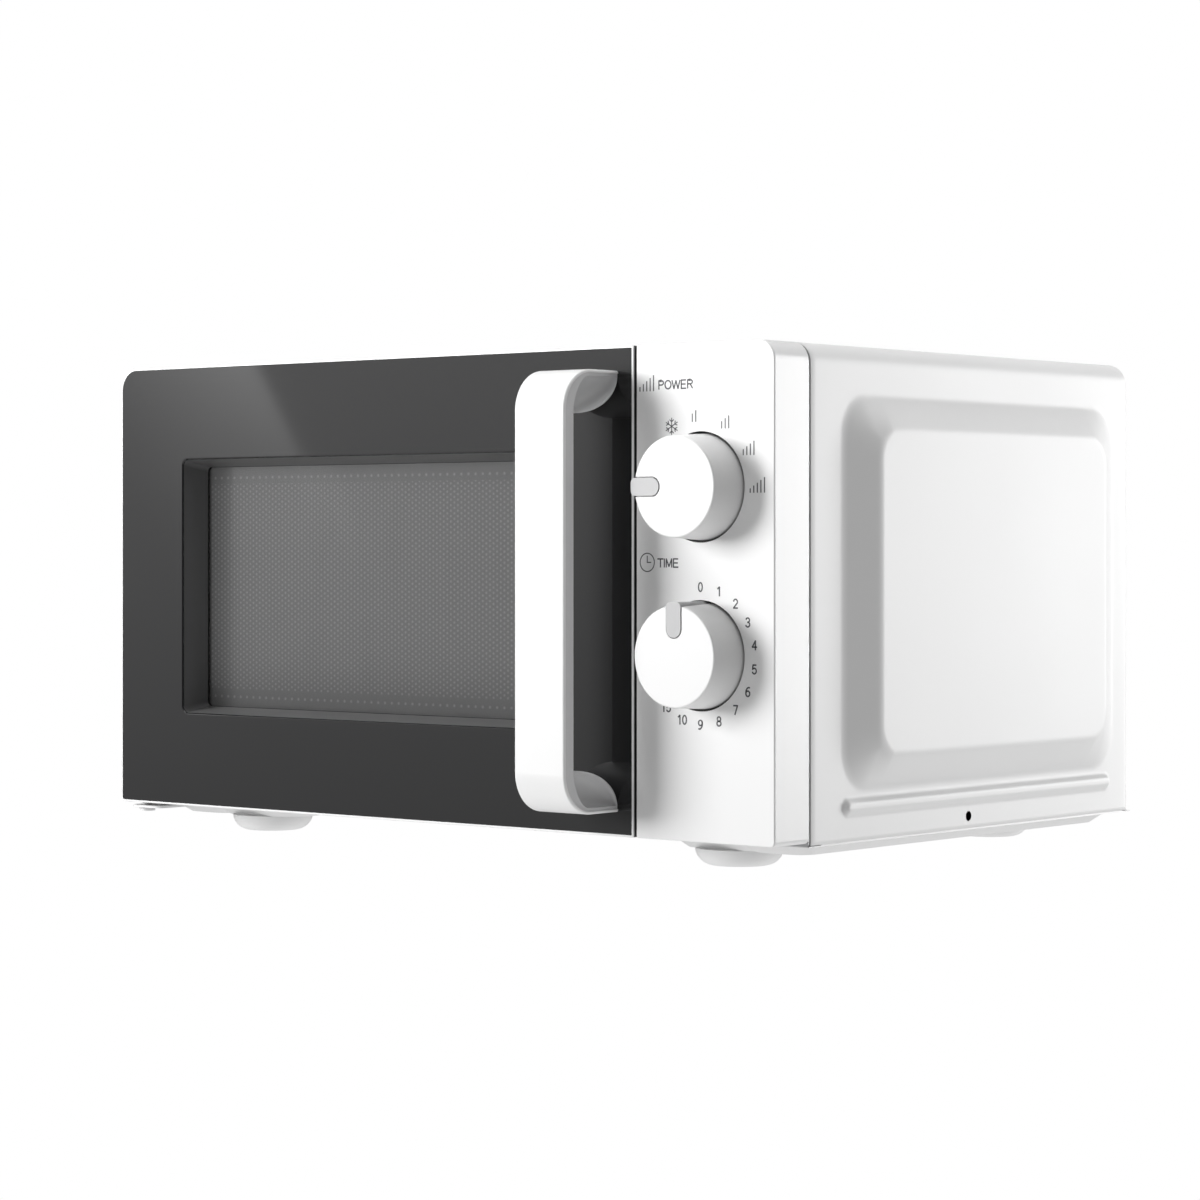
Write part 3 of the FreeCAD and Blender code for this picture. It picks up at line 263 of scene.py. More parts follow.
# ---- shader expressions ---------------------------------------------------------------------------
class Expr:
    """A shader value. Python's operators on it add Math nodes."""

    def __init__(self, graph: "Graph", socket: bpy.types.NodeSocket) -> None:
        """Wraps an output socket of a graph."""
        self.graph, self.socket = graph, socket

    def _math(self, operation: str, *inputs: "Expr | float") -> "Expr":
        """A Math node on the inputs, in order."""
        return self.graph.node("ShaderNodeMath", {"operation": operation}, dict(enumerate(inputs)))

    def __add__(self, other: "Expr | float") -> "Expr":
        """self + other."""
        return self._math("ADD", self, other)

    def __sub__(self, other: "Expr | float") -> "Expr":
        """self - other."""
        return self._math("SUBTRACT", self, other)

    def __rsub__(self, other: "Expr | float") -> "Expr":
        """other - self."""
        return self._math("SUBTRACT", other, self)

    def __mul__(self, other: "Expr | float") -> "Expr":
        """self * other."""
        return self._math("MULTIPLY", self, other)

    def __truediv__(self, other: "Expr | float") -> "Expr":
        """self / other."""
        return self._math("DIVIDE", self, other)

    def __abs__(self) -> "Expr":
        """abs(self)."""
        return self._math("ABSOLUTE", self)

    def __pow__(self, other: "Expr | float") -> "Expr":
        """self ** other."""
        return self._math("POWER", self, other)

    __radd__ = __add__
    __rmul__ = __mul__

    def least(self, other: "Expr | float") -> "Expr":
        """The smaller of two values."""
        return self._math("MINIMUM", self, other)

    def most(self, other: "Expr | float") -> "Expr":
        """The larger of two values."""
        return self._math("MAXIMUM", self, other)

    def nearest_multiple(self, pitch: float) -> "Expr":
        """Signed offset from the nearest multiple of pitch."""
        return self - self._math("ROUND", self / pitch) * pitch

    def root(self) -> "Expr":
        """Square root."""
        return self._math("SQRT", self)

    def ramp(self, low: float, high: float, start: float = 0.0, end: float = 1.0) -> "Expr":
        """A straight, clamped change from start to end while self goes from low to high."""
        ends = {"From Min": low, "From Max": high, "To Min": start, "To Max": end}
        return self.graph.node("ShaderNodeMapRange", {"clamp": True}, {"Value": self, **ends})


class Graph:
    """The node tree of one material."""

    def __init__(self, tree: bpy.types.NodeTree, output: str = "ShaderNodeOutputMaterial") -> None:
        """Clears a tree and starts with its output node."""
        self.tree = tree
        tree.nodes.clear()
        self.output = tree.nodes.new(output)

    def node(self, kind: str, settings: dict | None = None, inputs: dict | None = None,
             out: int | str = 0) -> Expr:
        """Adds a node: its settings first, then its sockets.

        Args:
            kind: Blender's node type.
            settings: attributes of the node.
            inputs: socket name or index to a number, colour or Expr.
            out: which output to return.

        Returns:
            The chosen output as an Expr.
        """
        made = self.tree.nodes.new(kind)
        for key, value in (settings or {}).items():
            setattr(made, key, value)
        for key, value in (inputs or {}).items():
            socket = made.inputs[key]
            if isinstance(value, Expr):
                self.tree.links.new(value.socket, socket)
            else:
                socket.default_value = value
        return Expr(self, made.outputs[out])

    def place(self) -> Expr:
        """Position on the piece, in metres of the row frame."""
        return self.node("ShaderNodeTexCoord", out="Object")

    def axes(self) -> tuple[Expr, Expr, Expr]:
        """Bench x, y and z of the shaded point, in millimetres."""
        split = self.node("ShaderNodeSeparateXYZ", inputs={0: self.place()})
        outputs = split.socket.node.outputs
        return tuple(Expr(self, outputs[n]) * (1 / MM) - BENCH.origin[n] for n in range(3))

    def noise(self, size_mm: float, detail: float = 2.0,
              stretch: tuple[float, float, float] = (1, 1, 1)) -> Expr:
        """Noise about nought with features of a size in millimetres.

        Args:
            size_mm: feature size.
            detail: octaves.
            stretch: how many times finer it is along each axis.

        Returns:
            Values from about -0.5 to 0.5.
        """
        scaled = self.node("ShaderNodeMapping", inputs={"Vector": self.place(), "Scale": stretch})
        sizes = {"Vector": scaled, "Scale": 1 / (size_mm * MM), "Detail": detail}
        return self.node("ShaderNodeTexNoise", inputs=sizes) - 0.5

    def blend(self, factor: Expr, low: tuple, high: tuple) -> Expr:
        """A colour between two, by factor."""
        ends = {0: factor, 6: (*low, 1), 7: (*high, 1)}
        return self.node("ShaderNodeMix", {"data_type": "RGBA"}, ends, out=2)

    def bump(self, height: Expr, distance_mm: float, strength: float = 1.0) -> Expr:
        """A normal bent by a height that is worth distance_mm where it is one."""
        return self.node("ShaderNodeBump", inputs={"Strength": strength, "Distance": distance_mm * MM,
                                                   "Height": height})

    def shader(self, **sockets: "Expr | float | tuple") -> Expr:
        """A Principled shader. Socket names have underscores for spaces."""
        named = {key.replace("_", " "): value for key, value in sockets.items()}
        return self.node("ShaderNodeBsdfPrincipled", inputs=named)

    def moulded(self, colour: Expr) -> Expr:
        """A white moulding's shader in a given colour: slow changes of gloss and a fine grain."""
        return self.shader(
            Base_Color=colour,
            Roughness=self.noise(8.0, 3.0) * 0.06 + 0.32,
            Normal=self.bump(self.noise(0.35, 1.0), 0.006, 0.5))

    def finish(self, shader: Expr) -> None:
        """Sends a shader to the output."""
        self.tree.links.new(shader.socket, self.output.inputs["Surface"])


# ---- finishes -------------------------------------------------------------------------------------
class Finish:
    """A material that is built once and shared."""

    name: str
    _made: dict[str, bpy.types.Material] = {}

    def paint(self, graph: Graph) -> None:
        """Builds the node tree. Each finish has its own."""
        raise NotImplementedError

    def material(self) -> bpy.types.Material:
        """The finish's material, made at its first use."""
        if self.name not in self._made:
            made = bpy.data.materials.new(self.name)
            made.use_nodes = True
            self.paint(Graph(made.node_tree))
            self._made[self.name] = made
        return self._made[self.name]


@dataclass(frozen=True)
class PowderCoat(Finish):
    """Sprayed and baked paint on sheet: faint orange peel, and a little unevenness of gloss."""

    name: str = "powder_coat"
    colour: tuple[float, float, float] = (0.80, 0.80, 0.80)
    roughness: float = 0.50
    peel_mm: float = 0.9
    peel_height_mm: float = 0.010

    def paint(self, graph: Graph) -> None:
        """Orange peel as bump, slow noise on colour and roughness."""
        slow = graph.noise(60.0, 3.0)
        dark = tuple(c * 0.97 for c in self.colour)
        graph.finish(graph.shader(
            Base_Color=graph.blend(slow + 0.5, dark, self.colour),
            Roughness=slow * 0.06 + self.roughness,
            Normal=graph.bump(graph.noise(self.peel_mm, 1.0), self.peel_height_mm, 0.6),
            Coat_Weight=0.05, Coat_Roughness=0.3))


@dataclass(frozen=True)
class Moulding(Finish):
    """Moulded plastic with a fine spark-eroded grain and slight flow variation."""

    name: str
    colour: tuple[float, float, float]
    roughness: float = 0.35
    grain_mm: float = 0.35
    grain_height_mm: float = 0.006
    specular: float = 0.5
    coat: float = 0.0

    def paint(self, graph: Graph) -> None:
        """Grain as bump, flow lines along the height as colour."""
        flow = graph.noise(45.0, 2.0, (1.0, 1.0, 0.4))
        dark = tuple(c * 0.965 for c in self.colour)
        graph.finish(graph.shader(
            Base_Color=graph.blend(flow + 0.5, dark, self.colour),
            Roughness=graph.noise(8.0, 3.0) * 0.06 + self.roughness,
            Specular_IOR_Level=self.specular,
            Coat_Weight=self.coat, Coat_Roughness=0.12,
            Normal=graph.bump(graph.noise(self.grain_mm, 1.0), self.grain_height_mm, 0.5)))


@dataclass(frozen=True)
class PocketedMoulding(Finish):
    """White panel moulding with painted shade: its knob pockets are coloured near black for the shadow in the
    gap round each knob.
    """

    name: str = "panel_moulding"
    colour: tuple[float, float, float] = (0.82, 0.82, 0.82)
    pocket_colour: tuple[float, float, float] = (0.02, 0.02, 0.021)
    centres: tuple[tuple[float, float], ...] = ((DIAL_X, POWER_Z), (DIAL_X, TIMER_Z))
    radius: float = 26.7
    depth_mm: float = 0.25

    def paint(self, graph: Graph) -> None:
        """Painted shade: near black where the distance from a knob's axis is under the pocket's radius,
        behind the face.
        """
        x, y, z = graph.axes()
        nearest = None
        for centre_x, centre_z in self.centres:
            across, up = x - centre_x, z - centre_z
            far = (across * across + up * up).root()
            nearest = far if nearest is None else nearest.least(far)
        behind = y.ramp(self.depth_mm, self.depth_mm + 0.3)
        # painted shade: the pocket round each knob is coloured near black for the shadow that falls in its
        # gap
        pocket = nearest.ramp(self.radius, self.radius + 0.2, 1.0, 0.0) * behind
        graph.finish(graph.moulded(graph.blend(pocket, self.colour, self.pocket_colour)))


@dataclass(frozen=True)
class SurroundMoulding(Finish):
    """White door surround with painted shade: its closing edge is black behind its rim, for the shadow in the
    gap beside the control panel.
    """

    name: str = "surround_moulding"
    colour: tuple[float, float, float] = (0.82, 0.82, 0.82)
    edge_colour: tuple[float, float, float] = (0.012, 0.012, 0.0125)
    edge_x: float = 365.2
    rim_mm: float = 0.45

    def paint(self, graph: Graph) -> None:
        """Painted shade: black on the right-hand edge, starting a rim's depth behind the face, for the shadow
        in the gap.
        """
        x, y, _ = graph.axes()
        # painted shade: the closing edge is coloured black for the shadow that falls in the gap
        edge = x.ramp(self.edge_x, self.edge_x + 0.2) * y.ramp(self.rim_mm, self.rim_mm + 0.2)
        graph.finish(graph.moulded(graph.blend(edge, self.colour, self.edge_colour)))


@dataclass(frozen=True)
class PolishedBlack(Finish):
    """High-gloss black door plastic with faint wiping marks and dust in the roughness."""

    name: str = "polished_black"
    colour: tuple[float, float, float] = (0.010, 0.010, 0.0105)
    wall_colour: tuple[float, float, float] = (0.12, 0.12, 0.121)
    roughness: float = 0.05
    wall_roughness: float = 0.35
    lip_mm: float = 0.8
    foot_mm: float = 17.4

    def paint(self, graph: Graph) -> None:
        """Fine crossing wipe marks raise the roughness, and a slow wave bends the reflection.

        Behind the lip, the walls of the recess have the grain of an unpolished mould, down to a black foot.
        """
        depth = graph.axes()[1]
        above_foot = depth.ramp(self.foot_mm, self.foot_mm + 0.1, 1.0, 0.0)
        wall = depth.ramp(self.lip_mm, self.lip_mm + 0.3) * above_foot
        wipes = graph.noise(1.2, 2.0, (0.15, 1.0, 1.0)).most(graph.noise(1.2, 2.0, (1.0, 1.0, 0.12)))
        wear = wipes.ramp(0.12, 0.4)
        graph.finish(graph.shader(
            Base_Color=graph.blend(wall, self.colour, self.wall_colour),
            Roughness=wear * 0.05 + wall * (self.wall_roughness - self.roughness) + self.roughness,
            Specular_IOR_Level=0.5,
            Normal=graph.bump(graph.noise(70.0, 0.0), 0.02, 0.25)))


@dataclass(frozen=True)
class Zinc(Finish):
    """Hot-dipped sheet: flat spangle crystals that differ in brightness and gloss."""

    name: str = "zinc_sheet"
    colour: tuple[float, float, float] = (0.52, 0.525, 0.53)
    spangle_mm: float = 4.5
    roughness: float = 0.42

    def paint(self, graph: Graph) -> None:
        """A Voronoi cell is one crystal, and its random value shifts colour and roughness."""
        cell = graph.node("ShaderNodeTexVoronoi", {"feature": "F1"},
                          {"Vector": graph.place(), "Scale": 1 / (self.spangle_mm * MM)}, out="Color")
        shade = graph.node("ShaderNodeSeparateColor", inputs={0: cell})
        rolled = graph.noise(0.8, 2.0, (0.08, 1.0, 1.0))
        graph.finish(graph.shader(
            Base_Color=graph.blend(shade, tuple(c * 0.93 for c in self.colour), self.colour),
            Metallic=1.0,
            Roughness=shade * 0.06 + rolled * 0.06 + self.roughness,
            Normal=graph.bump(rolled, 0.01, 0.4)))


@dataclass(frozen=True)
class BareMetal(Finish):
    """Turned, drawn or plated metal with fine lines along one axis."""

    name: str
    colour: tuple[float, float, float]
    roughness: float = 0.28
    stretch: tuple[float, float, float] = (1.0, 0.06, 1.0)

    def paint(self, graph: Graph) -> None:
        """Stretched noise as fine lines in roughness and bump."""
        lines = graph.noise(0.5, 3.0, self.stretch)
        dark = tuple(c * 0.88 for c in self.colour)
        graph.finish(graph.shader(
            Base_Color=graph.blend(graph.noise(12.0, 2.0) + 0.5, dark, self.colour),
            Metallic=1.0,
            Roughness=lines * 0.15 + self.roughness,
            Normal=graph.bump(lines, 0.008, 0.5)))


@dataclass(frozen=True)
class Layered(Finish):
    """A stack or winding: thin even layers along one axis, such as laminations or wire."""

    name: str
    colour: tuple[float, float, float]
    gap_colour: tuple[float, float, float]
    axis: int
    pitch_mm: float
    metallic: float = 0.0
    roughness: float = 0.45

    def paint(self, graph: Graph) -> None:
        """The offset from the nearest layer's middle makes a round-topped height."""
        offset = abs(graph.axes()[self.axis].nearest_multiple(self.pitch_mm)) * (2 / self.pitch_mm)
        crown = (1 - offset * offset).most(0.0).root()
        graph.finish(graph.shader(
            Base_Color=graph.blend(crown.ramp(0.2, 0.75), self.gap_colour, self.colour),
            Metallic=self.metallic,
            Roughness=graph.noise(3.0, 2.0) * 0.15 + self.roughness,
            Normal=graph.bump(crown, self.pitch_mm * 0.3, 0.8)))


@dataclass(frozen=True)
class ClearSheet(Finish):
    """Thin clear plastic or glass: a see-through sheet with a glossy face and faint smears."""

    name: str
    tint: tuple[float, float, float] = (0.03, 0.03, 0.032)
    opacity: float = 0.16
    roughness: float = 0.03
    specular: float = 1.0

    def paint(self, graph: Graph) -> None:
        """Mostly transparent, with smears that raise the opacity a little."""
        smear = graph.noise(25.0, 4.0, (1.0, 1.0, 0.35)).ramp(0.05, 0.35)
        graph.finish(graph.shader(
            Base_Color=(*self.tint, 1),
            Roughness=smear * 0.05 + self.roughness,
            Alpha=smear * 0.02 + self.opacity,
            Specular_IOR_Level=self.specular))


@dataclass(frozen=True)
class PunchedScreen(Finish):
    """Coated sheet with round holes on a triangular pitch, and a row of larger ones at top and bottom."""

    name: str = "punched_screen"
    sheet: tuple[float, float, float] = (0.66, 0.66, 0.665)
    hole: tuple[float, float, float] = (0.98, 0.98, 0.98)
    across_mm: float = 4.9
    down_mm: float = 2.8
    hole_mm: float = 0.62
    origin: tuple[float, float] = (58.6, 171.6)
    rows: tuple[float, float] = (63.0, 174.4)
    edge_rows: tuple[float, float] = (58.9, 177.7)

    def paint(self, graph: Graph) -> None:
        """Two rectangular lattices, half a pitch apart, make the triangular one. The nearest hole wins."""
        x, _, z = graph.axes()
        column = x - self.origin[0]
        near = []
        for row in LatticeRow:
            dx = (column + row.value * self.across_mm).nearest_multiple(self.across_mm)
            dz = (z - self.origin[1] + row.value * self.down_mm).nearest_multiple(self.down_mm)
            near.append((dx * dx + dz * dz).root())
        dense = near[0].least(near[1]).ramp(self.hole_mm * 0.7, self.hole_mm * 1.3, 1.0, 0.0)
        above = z.ramp(self.rows[0] - 0.1, self.rows[0])
        dense = dense * above * z.ramp(self.rows[1], self.rows[1] + 0.1, 1.0, 0.0)
        edge_z = abs(z - self.edge_rows[0]).least(abs(z - self.edge_rows[1]))
        edge_x = column.nearest_multiple(self.across_mm)
        far = (edge_x * edge_x + edge_z * edge_z).root()
        holes = dense.most(far.ramp(self.hole_mm * 0.9, self.hole_mm * 1.6, 1.0, 0.0))
        coat = graph.noise(0.6, 2.0)
        graph.finish(graph.shader(
            Base_Color=graph.blend(holes, self.sheet, self.hole),
            Roughness=coat * 0.1 + 0.5,
            Normal=graph.bump(coat * 0.2 - holes, 0.12, 0.6)))


@dataclass(frozen=True)
class Speckled(Finish):
    """Cavity paint or ceramic: a pale ground with fine darker specks."""

    name: str
    colour: tuple[float, float, float]
    speck: tuple[float, float, float]
    amount: float = 0.62
    roughness: float = 0.35
    size_mm: float = 0.8

    def paint(self, graph: Graph) -> None:
        """Specks are the peaks of a fine noise."""
        peaks = graph.noise(self.size_mm, 2.0).ramp(self.amount - 0.5, self.amount - 0.44)
        graph.finish(graph.shader(
            Base_Color=graph.blend(peaks, self.colour, self.speck),
            Roughness=graph.noise(20.0) * 0.08 + self.roughness,
            Normal=graph.bump(graph.noise(1.1, 1.0), 0.012, 0.5)))


@dataclass(frozen=True)
class Ink(Finish):
    """Pad-printed ink, a little uneven where it was pressed on."""

    name: str = "printed_ink"
    colour: tuple[float, float, float] = (0.055, 0.055, 0.06)

    def paint(self, graph: Graph) -> None:
        """Fine noise lightens the ink in places."""
        pale = tuple(c * 1.6 for c in self.colour)
        graph.finish(graph.shader(
            Base_Color=graph.blend(graph.noise(0.5, 2.0) + 0.5, self.colour, pale),
            Roughness=graph.noise(1.0) * 0.1 + 0.5))


WHITE_COAT = PowderCoat()
WHITE_PLASTIC = Moulding("white_moulding", (0.82, 0.82, 0.82), 0.32)
PANEL_PLASTIC = PocketedMoulding()
SURROUND_PLASTIC = SurroundMoulding()
KNOB_WHITE = Moulding("knob_white", (0.80, 0.80, 0.80), 0.34)
SILVER_PLASTIC = Moulding("silver_moulding", (0.62, 0.62, 0.625), 0.34, specular=0.6)
POINTER_PLASTIC = Moulding("pointer_moulding", (0.46, 0.46, 0.465), 0.34)
BLACK_PLASTIC = Moulding("black_moulding", (0.018, 0.018, 0.019), 0.45)
GREY_PLASTIC = Moulding("grey_moulding", (0.45, 0.45, 0.44), 0.42)
CHOKE_PLASTIC = Moulding("choke_moulding", (0.03, 0.03, 0.031), 0.4)
FOOT_PLASTIC = Moulding("foot_moulding", (0.84, 0.84, 0.84), 0.42)
RED_PLASTIC = Moulding("red_moulding", (0.40, 0.02, 0.015), 0.4)
POLISHED_BLACK = PolishedBlack()
ZINC = Zinc()
PAINTED_STEEL = PowderCoat("base_coat", (0.80, 0.80, 0.80), 0.42)
ALUMINIUM = BareMetal("drawn_aluminium", (0.78, 0.78, 0.79), 0.3)
PLATED = BareMetal("plated_steel", (0.50, 0.50, 0.51), 0.3)
IRON_CORE = Layered("iron_laminations", (0.10, 0.10, 0.105), (0.03, 0.03, 0.03), 1, 0.7, 0.5)
COPPER_WIRE = Layered("copper_winding", (0.42, 0.15, 0.05), (0.10, 0.03, 0.01), 2, 0.9, 0.7, 0.3)
CAVITY_PAINT = Speckled("cavity_paint", (0.62, 0.62, 0.60), (0.40, 0.40, 0.39))
DOOR_LINER_PAINT = Speckled("door_liner_paint", (0.60, 0.60, 0.58), (0.42, 0.42, 0.41))
MICA = Speckled("mica_board", (0.42, 0.34, 0.22), (0.60, 0.52, 0.38), 0.55, 0.4, 2.2)
BOARD = Speckled("circuit_board", (0.16, 0.10, 0.03), (0.12, 0.07, 0.02), 0.6, 0.4)
WINDOW = ClearSheet("window_sheet")
TRAY_GLASS = ClearSheet("tray_glass", (0.80, 0.88, 0.87), 0.28, 0.05, 0.5)
LAMP_GLASS = ClearSheet("lamp_glass", (0.95, 0.92, 0.85), 0.35, 0.08, 0.5)
SCREEN = PunchedScreen()
INK = Ink()


def dress(finish: Finish, *nodes: str) -> None:
    """Gives CAD nodes a finish.

    Args:
        finish: the finish.
        nodes: names of nodes that keep their CAD shape.
    """
    for name in nodes:
        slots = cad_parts[name].material_slots
        for slot in slots:
            slot.material = finish.material()
        log.info("%s: dressed in %s", name, finish.name)


# ---- case -----------------------------------------------------------------------------------------
@dataclass
class Hood:
    """The white sheet hood: two sides and the top in one sheet, with pressed sides."""

    front: float = 28.7
    low: float = -1.0
    corner: float = 10.0
    back_round: float = 8.5
    flange: float = 20.0
    sheet: float = 0.8
    field_low: tuple[float, float] = (54.3, 24.0)
    field_high: tuple[float, float] = (297.5, 213.3)
    field_corner: float = 19.0
    slope: tuple[float, float] = (19.5, 15.5)
    field_height: float = 9.2
    plateau_corner: float = 15.0
    rib_ends: tuple[float, float] = (58.2, 290.8)
    rib_z: float = 15.5
    rib_half: float = 4.2
    rib_height: float = 2.2
    rib_slope: float = 2.2
    plateau_fade: float = 18.0
    shrink_from: float = 150.0
    shrink_over: float = 60.0

    def bulge(self, y: np.ndarray, z: np.ndarray) -> np.ndarray:
        """How far a side stands out.

        The field's height falls from its plateau to its outline by the share of the way between the two
        rounded rectangles, with both kinks rounded. The rib is a rounded ridge about a line.

        Args:
            y: distance back from the front.
            z: height.

        Returns:
            Outward offsets in millimetres.
        """
        outer = -box_distance(y, z, self.field_low, self.field_high, self.field_corner)
        top_low = (self.field_low[0] + self.slope[0], self.field_low[1] + self.slope[1])
        top_high = (self.field_high[0] - self.slope[0], self.field_high[1] - self.slope[1])
        inner = box_distance(y, z, top_low, top_high, self.plateau_corner)
        share = np.clip(outer / np.maximum(outer + inner, 1e-6), -1, 2)
        beyond = np.where(outer <= 0, outer / self.plateau_fade, share)
        share = np.where(inner <= 0, 1 - inner / self.plateau_fade, beyond)
        along = np.clip(y, *self.rib_ends)
        off = np.hypot(y - along, z - self.rib_z)
        rib = soft_ramp((self.rib_half - off) / self.rib_slope, 0.35)
        return self.field_height * soft_ramp(share) + self.rib_height * rib

    def section(self, inset: float, y: np.ndarray) -> np.ndarray:
        """The hood's cross-section at each depth: up the left side, over the top and down the right side.

        The heights lie close together where the rib and the field's slopes bend, and far apart between them.

        Args:
            inset: how far the whole section is shrunk, one value per depth.
            y: the depths.

        Returns:
            A (depth, point, 3) grid.
        """
        inset = np.broadcast_to(inset, y.shape)[:, None]
        radius = self.corner
        steps = np.concatenate([np.linspace(self.low, 9, 6)[:-1], np.linspace(9, 62, 54)[:-1],
                                np.linspace(62, 176, 24)[:-1], np.linspace(176, 222, 42)[:-1],
                                np.linspace(222, BENCH.height - radius, 4)])
        turn = np.linspace(0.0, math.pi / 2, 9)[1:]
        corner_x = radius * (1 - np.cos(turn))
        corner_z = BENCH.height - radius + radius * np.sin(turn)
        top = np.linspace(radius, BENCH.width / 2, 5)[1:]
        x = np.concatenate([np.zeros(len(steps)), corner_x, top])
        z = np.concatenate([steps, corner_z, np.full(len(top), BENCH.height)])
        out = np.where(np.arange(len(x)) < len(steps), 1.0, 0.0)
        shrink = np.clip((z - self.shrink_from) / self.shrink_over, 0, 1)
        pressed = out[None] * self.bulge(y[:, None], z[None])
        left_x = x[None] * (1 - inset / (BENCH.width / 2)) + inset - pressed
        left_z = z[None] - inset * shrink[None]
        grid = np.stack([left_x, np.broadcast_to(y[:, None], left_x.shape), left_z], -1)
        right = grid[:, -2::-1].copy()
        right[..., 0] = BENCH.width - right[..., 0]
        return np.concatenate([grid, right], 1)

    def build(self) -> None:
        """The hood in one sheet, rounded over at the back and turned in to the rear flange."""
        y = np.concatenate([np.linspace(self.front, 50, 6)[:-1], np.linspace(50, 84, 46)[:-1],
                            np.linspace(84, 268, 30)[:-1], np.linspace(268, 302, 46)[:-1],
                            np.linspace(302, BENCH.depth - self.back_round, 3)])
        inward, onward = arc_steps(7)
        back_y = BENCH.depth - self.back_round + self.back_round * onward[1:]
        back_inset = self.back_round * inward[1:]
        depths = np.concatenate([y, back_y, [BENCH.depth]])
        insets = np.concatenate([np.zeros(len(y)), back_inset, [self.flange]])
        grid = self.section(insets, depths)
        hood = make_piece("hood", [Surface(grid, loop_columns=False)], WHITE_COAT, "cabinet",
                          ("outer_case",), 60)
        thicken(hood, self.sheet)

    def dress(self) -> None:
        """Finishes of the sheet and fixings that keep their CAD shape."""
        dress(ZINC, "rear_panel", "front_plate", "upper_hinge")
        dress(PAINTED_STEEL, "base_plate", "lower_hinge")
        dress(FOOT_PLASTIC, "feet")
        dress(BLACK_PLASTIC, "cord_gland")
        dress(PLATED, "case_screws")


# ---- door -----------------------------------------------------------------------------------------
@dataclass
class Door:
    """The door: black front with the recessed window, white surround, screen and choke."""

    width: float = 365.7
    rim: float = 1.0
    radii: tuple[float, float, float, float] = (2.5, 1.0, 1.0, 12.0)
    front_thickness: float = 3.0
    window_low: tuple[float, float] = (49.2, 50.2)
    window_high: tuple[float, float] = (317.0, 187.7)
    recess_low: tuple[float, float] = (50.7, 53.5)
    recess_high: tuple[float, float] = (315.5, 183.5)
    recess_depth: float = 18.6
    lip: float = 0.7
    window_radii: tuple[float, float] = (3.5, 3.0)
    edge: float = 0.4
    flange: float = 1.5
    wall: float = 2.0

    def outline(self, inset: float) -> np.ndarray:
        """The door's outline shrunk by inset."""
        radii = tuple(max(r - inset, 0.3) for r in self.radii)
        return rounded_outline((inset, inset), (self.width - inset, BENCH.height - inset), radii, 10)

    def opening(self, share: float, grow: float) -> np.ndarray:
        """The window's outline, from the front (share 0) to the bottom of the recess (share 1).

        Args:
            share: how far down the recess.
            grow: how much larger than nominal.

        Returns:
            The outline's points.
        """
        low = np.array(self.window_low) * (1 - share) + np.array(self.recess_low) * share - grow
        high = np.array(self.window_high) * (1 - share) + np.array(self.recess_high) * share + grow
        radius = self.window_radii[0] * (1 - share) + self.window_radii[1] * share + grow
        return rounded_outline(tuple(low), tuple(high), (radius,) * 4, 10)

    def build(self) -> None:
        """The front panel in one loft: up the recess, over its lip, across the face and over the edge."""
        outlines, depths = [self.opening(1.0, 0.0)], [self.recess_depth]
        outlines.append(self.opening(self.lip / self.recess_depth, 0.0))
        depths.append(self.lip)
        inward, onward = arc_steps(5)
        for come, gone in zip(inward[1:], onward[1:]):
            outlines.append(self.opening(0.0, self.lip * come))
            depths.append(self.lip * (1 - gone))
        for come, gone in zip(inward, onward):
            outlines.append(self.outline(self.rim + self.edge * (1 - gone)))
            depths.append(self.edge * come)
        outlines += [self.outline(self.rim), self.outline(self.rim + self.flange)]
        depths += [self.front_thickness, self.front_thickness]
        outlines += [self.opening(0.0, self.wall), self.opening(1.0, self.wall)]
        depths += [self.front_thickness, self.recess_depth]
        grid = stacked(outlines, depths)
        panel = Surface(grid, loop_rows=True, flip=True)
        make_piece("door_front_panel", [panel], POLISHED_BLACK, "door", ("door_front",), 40)

    def dress(self) -> None:
        """Finishes of the door parts that keep their CAD shape."""
        dress(SURROUND_PLASTIC, "door_frame")
        dress(WINDOW, "inner_window", "rear_film")
        dress(SCREEN, "door_screen")
        dress(DOOR_LINER_PAINT, "choke_frame")
        dress(CHOKE_PLASTIC, "choke_cover")
        dress(PLATED, "handle_screws", "latch_spring")
        dress(GREY_PLASTIC, "latch_hooks")
        dress(BLACK_PLASTIC, "latch_guide")


